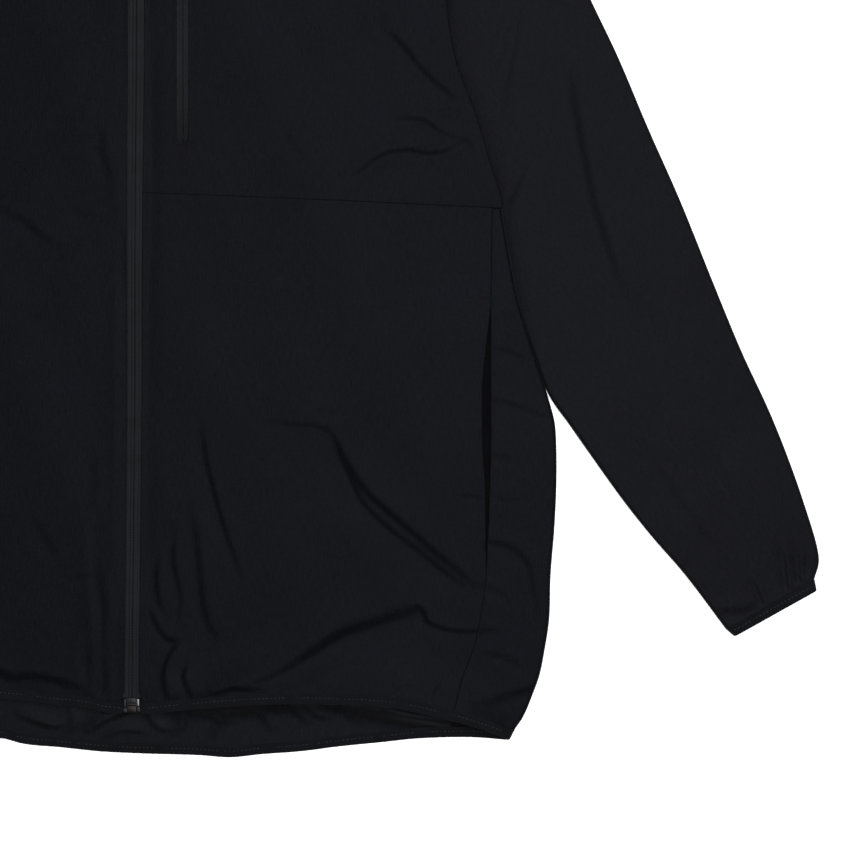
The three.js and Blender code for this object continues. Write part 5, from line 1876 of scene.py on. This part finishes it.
def metal_piece(name, origin, plates, finishes, node, body="jacket"):
    """One object from plates, which replaces a CAD node."""
    mesh = bpy.data.meshes.new(name)
    whole = bmesh.new()
    for plate in plates:
        part = bmesh.new()
        corners = [(x + plate.aside, y, plate.low) for x, y in plate.outline]
        lift = (0, 0, plate.high - plate.low)
        if plate.upright:
            corners = [(plate.low, x, y) for x, y in plate.outline]
            lift = (plate.high - plate.low, 0, 0)
        face = part.faces.new([part.verts.new(corner) for corner in corners])
        side = bmesh.ops.extrude_face_region(part, geom=[face])
        raised = [element for element in side["geom"] if isinstance(element, bmesh.types.BMVert)]
        bmesh.ops.translate(part, verts=raised, vec=lift)
        bmesh.ops.recalc_face_normals(part, faces=part.faces)
        rims = [edge for edge in part.edges if edge.calc_face_angle(0) > RIM_ANGLE]
        bmesh.ops.bevel(part, geom=rims, offset=plate.bevel, segments=2, profile=0.6, affect="EDGES")
        for made_face in part.faces:
            made_face.material_index = plate.finish
            made_face.smooth = True
        scrap = bpy.data.meshes.new("scrap")
        part.to_mesh(scrap)
        part.free()
        whole.from_mesh(scrap)
        bpy.data.meshes.remove(scrap)
    whole.to_mesh(mesh)
    whole.free()
    mesh.set_sharp_from_angle(angle=math.radians(40))
    for finish in finishes:
        mesh.materials.append(finish)
    made = new_object(name, mesh, origin)
    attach(made, body)
    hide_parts(node)


box_low, box_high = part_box("main_zip_box")
metal_piece("zip_box", ((box_low.x + box_high.x) / 2, box_low.y, box_low.z), [
    Plate(rounded(0.0058, 0.0003, 0.0106, 0.0012), 0, 0.0014, 0.0002, 3),
    Plate(rounded(0.0011, 0.0040, 0.0106, 0.0007), 0.0002, 0.0032, 0.0006, 3, -0.0046),
    Plate(rounded(0.0016, 0.0004, 0.0040, 0.0010), 0.0002, 0.0028, 0.0006, 3, -0.0046),
    # Upper part of the right cheek in bright steel: a painted highlight
    Plate(rounded(0.0010, 0.0052, 0.0104, 0.0007), 0.0002, 0.0034, 0.0005, 0, 0.0046),
    Plate(rounded(0.0015, 0.0008, 0.0050, 0.0010), 0.0002, 0.0029, 0.0006, 3, 0.0047),
    Plate(rounded(0.0036, 0.0056, 0.0070, 0.0005), 0.0010, 0.0030, 0.0005, 3),
    Plate(rounded(0.0030, 0.0074, 0.0108, 0.0008), 0.0008, 0.0020, 0.0004, 2),
    Plate(rounded(0.0010, 0.0076, 0.0104, 0.0005), 0.0012, 0.0026, 0.0004, 2),
    # Core in dark brass: painted shade in the recess between the cheeks
    Plate(rounded(0.0033, 0.0008, 0.0054, 0.0007), 0.0008, 0.0020, 0.0004, 1),
], [steel, brass_painted_shade, gunmetal, dull_steel_painted_shade], "main_zip_box")

for word, side in SIDES:
    low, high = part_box(f"main_zip_stop_{word}")
    metal_piece(f"{word}_zip_top_stop", ((low.x + high.x) / 2, low.y, low.z), [
        Plate(rounded(0.0009, 0, 0.0030, 0.0005), 0, 0.0013, 0.0004),
        Plate(rounded(0.0007, 0.0009, 0.0021, 0.0003), 0.0002, 0.0016, 0.0003),
    ], [steel], f"main_zip_stop_{word}")

# Plate of a slider: narrow where the closed zip leaves it, wide at its shoulders
SLIDER_PLATE = [
    (0.0030, 0.0000), (0.0034, 0.0010), (0.0036, 0.0036), (0.0050, 0.0066), (0.0050, 0.0094),
    (0.0040, 0.0109), (0.0022, 0.0108), (0.0010, 0.0098),
]
SLIDER_ARCH = [
    (0.0012, 0.0012), (0.0012, 0.0046), (0.0018, 0.0055), (0.0030, 0.0059), (0.0054, 0.0059),
    (0.0066, 0.0055), (0.0072, 0.0046), (0.0072, 0.0012), (0.0058, 0.0012), (0.0058, 0.0042),
    (0.0053, 0.0046), (0.0031, 0.0046), (0.0026, 0.0042), (0.0026, 0.0012),
]
PULL_LENGTH = 0.024
PULL_EYE_HALF = 0.0008


def scaled(outline, scale):
    return [(x * scale, y * scale) for x, y in outline]


def both_sides(half):
    """A whole outline from one side of it, mirrored across x = 0."""
    return half + [(-x, y) for x, y in reversed(half)]


def slider_piece(name, node, scale):
    """A slider over and under the tapes, with a post between its plates and an arch for the tab."""
    low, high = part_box(node)
    plate = scaled(both_sides(SLIDER_PLATE), scale)
    crest = scaled(rounded(0.0021, 0.0004, 0.0088, 0.0012), scale)
    post = rounded(0.0009, 0.0072 * scale, 0.0100 * scale, 0.0005)
    metal_piece(name, ((low.x + high.x) / 2, low.y, TAPE_TOP), [
        Plate(plate, 0.0003, 0.0015, 0.0004),
        Plate(crest, 0.0012, 0.0019, 0.0003),
        Plate(plate, -0.0028, -0.0013, 0.0004),
        Plate(post, -0.0016, 0.0006, 0.0002),
        Plate(SLIDER_ARCH, -0.0012, 0.0012, 0.0003, upright=True),
    ], [steel], node)


def pull_piece(name, node, body, scale):
    """A flat tab that hangs from the arch by its eye, with a waist and raised grip bars."""
    low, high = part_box(node)
    tip = -PULL_LENGTH * scale
    blade = both_sides([
        (-0.0034, -0.0050), (-0.0030, -0.0068), (-0.0026, -0.0090), (-0.0031, -0.0130),
        (-0.0032, tip + 0.0028), (-0.0024, tip + 0.0008), (-0.0010, tip),
    ])
    side_bar = rounded(0.0008, -0.0056, 0.0008, 0.0005)
    grips = []
    for k in range(3):
        foot = tip + 0.0030 + k * 0.0017
        grips.append(Plate(rounded(0.0021, foot, foot + 0.0009, 0.0003), 0.0003, 0.0008, 0.0002))
    metal_piece(name, ((low.x + high.x) / 2, high.y - PULL_EYE_HALF, (low.z + high.z) / 2), [
        Plate(blade, -0.0006, 0.0006, 0.0003),
        Plate(side_bar, -0.0008, 0.0008, 0.0003, 0, -0.0028),
        Plate(side_bar, -0.0008, 0.0008, 0.0003, 0, 0.0028),
        Plate(rounded(0.0036, -PULL_EYE_HALF, PULL_EYE_HALF, 0.0005), -0.0008, 0.0008, 0.0003),
        *grips,
    ], [steel], node, body)


slider_piece("zip_slider", "main_zip_slider", 1.0)
pull_piece("zip_pull_tab", "main_zip_pull", "main_zip_tab", 1.0)


# ======================================================================
# Chest zip
# A smaller coil zip behind the slot, its tapes coated so that they shed water and shine. Its lower
# end is closed by a small bar of thread, and a box of stitches holds the tape below the slot.
# ======================================================================

CHEST_TAPE_STEP = 0.0030
CHEST_METAL_SCALE = 0.72
FOOT_BAR_Y = (0.4340, 0.4345)
FOOT_BAR_HALF_WIDTH = 0.0022
FOOT_BAR_BOW = 0.0008
FOOT_BAR_RISE = 0.0007
# Where the painted shade on the chest tape's foot ends, and how far it takes to fade out
FOOT_SHADE_FROM_Y = 0.4365
FOOT_SHADE_FADE = 0.022
CHEST_TAPE_ENDS = (0.429, 0.594)
COATED_DARK = (0.0020, 0.0022, 0.0030, 1)
COATED_LIGHT = (0.0074, 0.0079, 0.0100, 1)

# Face of one coated tape from its inner edge outwards: place across it, height over its flat
CHEST_TAPE_PROFILE = [
    (0.0000, 0.00008),
    (0.0002, 0.00016),
    (0.0006, 0.00030),
    (0.0012, 0.00046),
    (0.0018, 0.00054),
    (0.0026, 0.00052),
    (0.0034, 0.00044),
    (0.0040, 0.00030),
    (0.0048, 0.00010),
    (0.0058, 0),
    (0.0070, -0.00030),
]


def painted_foot_shade(y):
    """Painted shade: 0 at the tape's foot, which is painted dark, and 1 further up, where the tape has its
    full tone.
    """
    return ((y - (FOOT_SHADE_FROM_Y + HEM_Y)) * (1 / FOOT_SHADE_FADE)).clamped()


coated_tape = tape_finish("coated_tape", COATED_DARK, COATED_LIGHT, {
    "Roughness": 0.34,
    "Specular IOR Level": 0.05,
}, painted_foot_shade)
chest_slider_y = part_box("chest_zip_slider")[0].y - HEM_Y
chest_span_y = CHEST_TAPE_ENDS[1] - CHEST_TAPE_ENDS[0]
chest_tape_y = CHEST_TAPE_ENDS[0] + chest_span_y * steps(chest_span_y, CHEST_TAPE_STEP)


def chest_gap(y):
    return parted(y, chest_slider_y, over=0.002)


for word, side in SIDES:
    zip_tape(
        name=f"{word}_chest_tape",
        side=side,
        middle=lambda y: CHEST_ZIP_X + 0 * y,
        gap=chest_gap,
        y=chest_tape_y,
        edge=lambda y: CHEST_ZIP_X + side * SLOT_RADIUS + 0 * y,
        node=f"chest_zip_tape_{word}",
        material=coated_tape,
        profile=CHEST_TAPE_PROFILE,
    )
finish_front(chest_front)
foot_bar_share = np.linspace(-1, 1, 40)
foot_bar_x = CHEST_ZIP_X + FOOT_BAR_HALF_WIDTH * foot_bar_share
foot_bar_z = tape_edge_height(foot_bar_x, FOOT_BAR_Y[0] + 0 * foot_bar_x, CHEST_ZIP_X + SLOT_RADIUS)
foot_bar_z = foot_bar_z + TAPE_TOP + FOOT_BAR_RISE
stitches("chest_zip_foot_bar", [
    joined(foot_bar_x, y - FOOT_BAR_BOW * (1 - foot_bar_share**2), foot_bar_z)
    for y in FOOT_BAR_Y
], tape_thread, pitch=0.0009, length=0.00085, width=0.0005)
slider_piece("chest_zip_slider_metal", "chest_zip_slider", CHEST_METAL_SCALE)
pull_piece("chest_zip_pull_tab", "chest_zip_pull", "chest_zip_tab", CHEST_METAL_SCALE)


# ======================================================================
# Surroundings
# A plain white table under the jacket. A large soft light hangs above it, a second one past its collar,
# and a weak third one on the wearer's left. The camera looks straight down on the wearer's left half.
# ======================================================================

VIEW_CENTRE = (0.2020, 0.23450)
VIEW_WIDTH = 0.5908
LENS = 85.0
SENSOR = 36.0
FLOOR_SIZE = 12.0
FLOOR_GAP = 0.0001
WORLD_STRENGTH = 0.12

floor_mesh = bpy.data.meshes.new("table_top")
half = FLOOR_SIZE / 2
floor_corners = [(-half, -half, 0), (half, -half, 0), (half, half, 0), (-half, half, 0)]
floor_mesh.from_pydata(floor_corners, [], [(0, 1, 2, 3)])
floor_mesh.materials.append(new_finish("white_table", {
    "Base Color": (0.80, 0.80, 0.80, 1),
    "Roughness": 0.9,
    "Specular IOR Level": 0.1,
    "Emission Color": (1, 1, 1, 1),
    "Emission Strength": 0.45,
})[0])
new_object("table_top", floor_mesh, (0, 0, -FLOOR_GAP))


def soft_light(name, place, aim, size, watts):
    """A square light of this size that points from its place to what it is aimed at."""
    data = bpy.data.lights.new(name, "AREA")
    data.shape = "SQUARE"
    data.size = size
    data.energy = watts
    x, y, z = (a - b for a, b in zip(place, aim))
    light = new_object(name, data, place)
    light.rotation_euler = (math.atan2(math.hypot(x, y), z), 0, math.atan2(x, -y))


soft_light("overhead", (0.08, -0.22, 2.4), (0.10, -0.15, 0), 1.4, 51)
soft_light("key", (0.50, 1.20, 2.2), (0.12, -0.12, 0), 0.9, 43)
soft_light("side", (1.15, -0.15, 2.0), (0.42, -0.05, 0), 0.8, 13)

world = bpy.data.worlds.new("studio")
world.use_nodes = True
background = world.node_tree.nodes["Background"]
background.inputs["Color"].default_value = (1, 1, 1, 1)
background.inputs["Strength"].default_value = WORLD_STRENGTH
bpy.context.scene.world = world
bpy.context.scene.view_settings.view_transform = "Standard"

camera_data = bpy.data.cameras.new("camera")
camera_data.lens = LENS
camera_data.sensor_width = SENSOR
camera_place = (VIEW_CENTRE[0], VIEW_CENTRE[1] + HEM_Y, HEIGHT + VIEW_WIDTH * LENS / SENSOR)
bpy.context.scene.camera = new_object("camera", camera_data, camera_place)
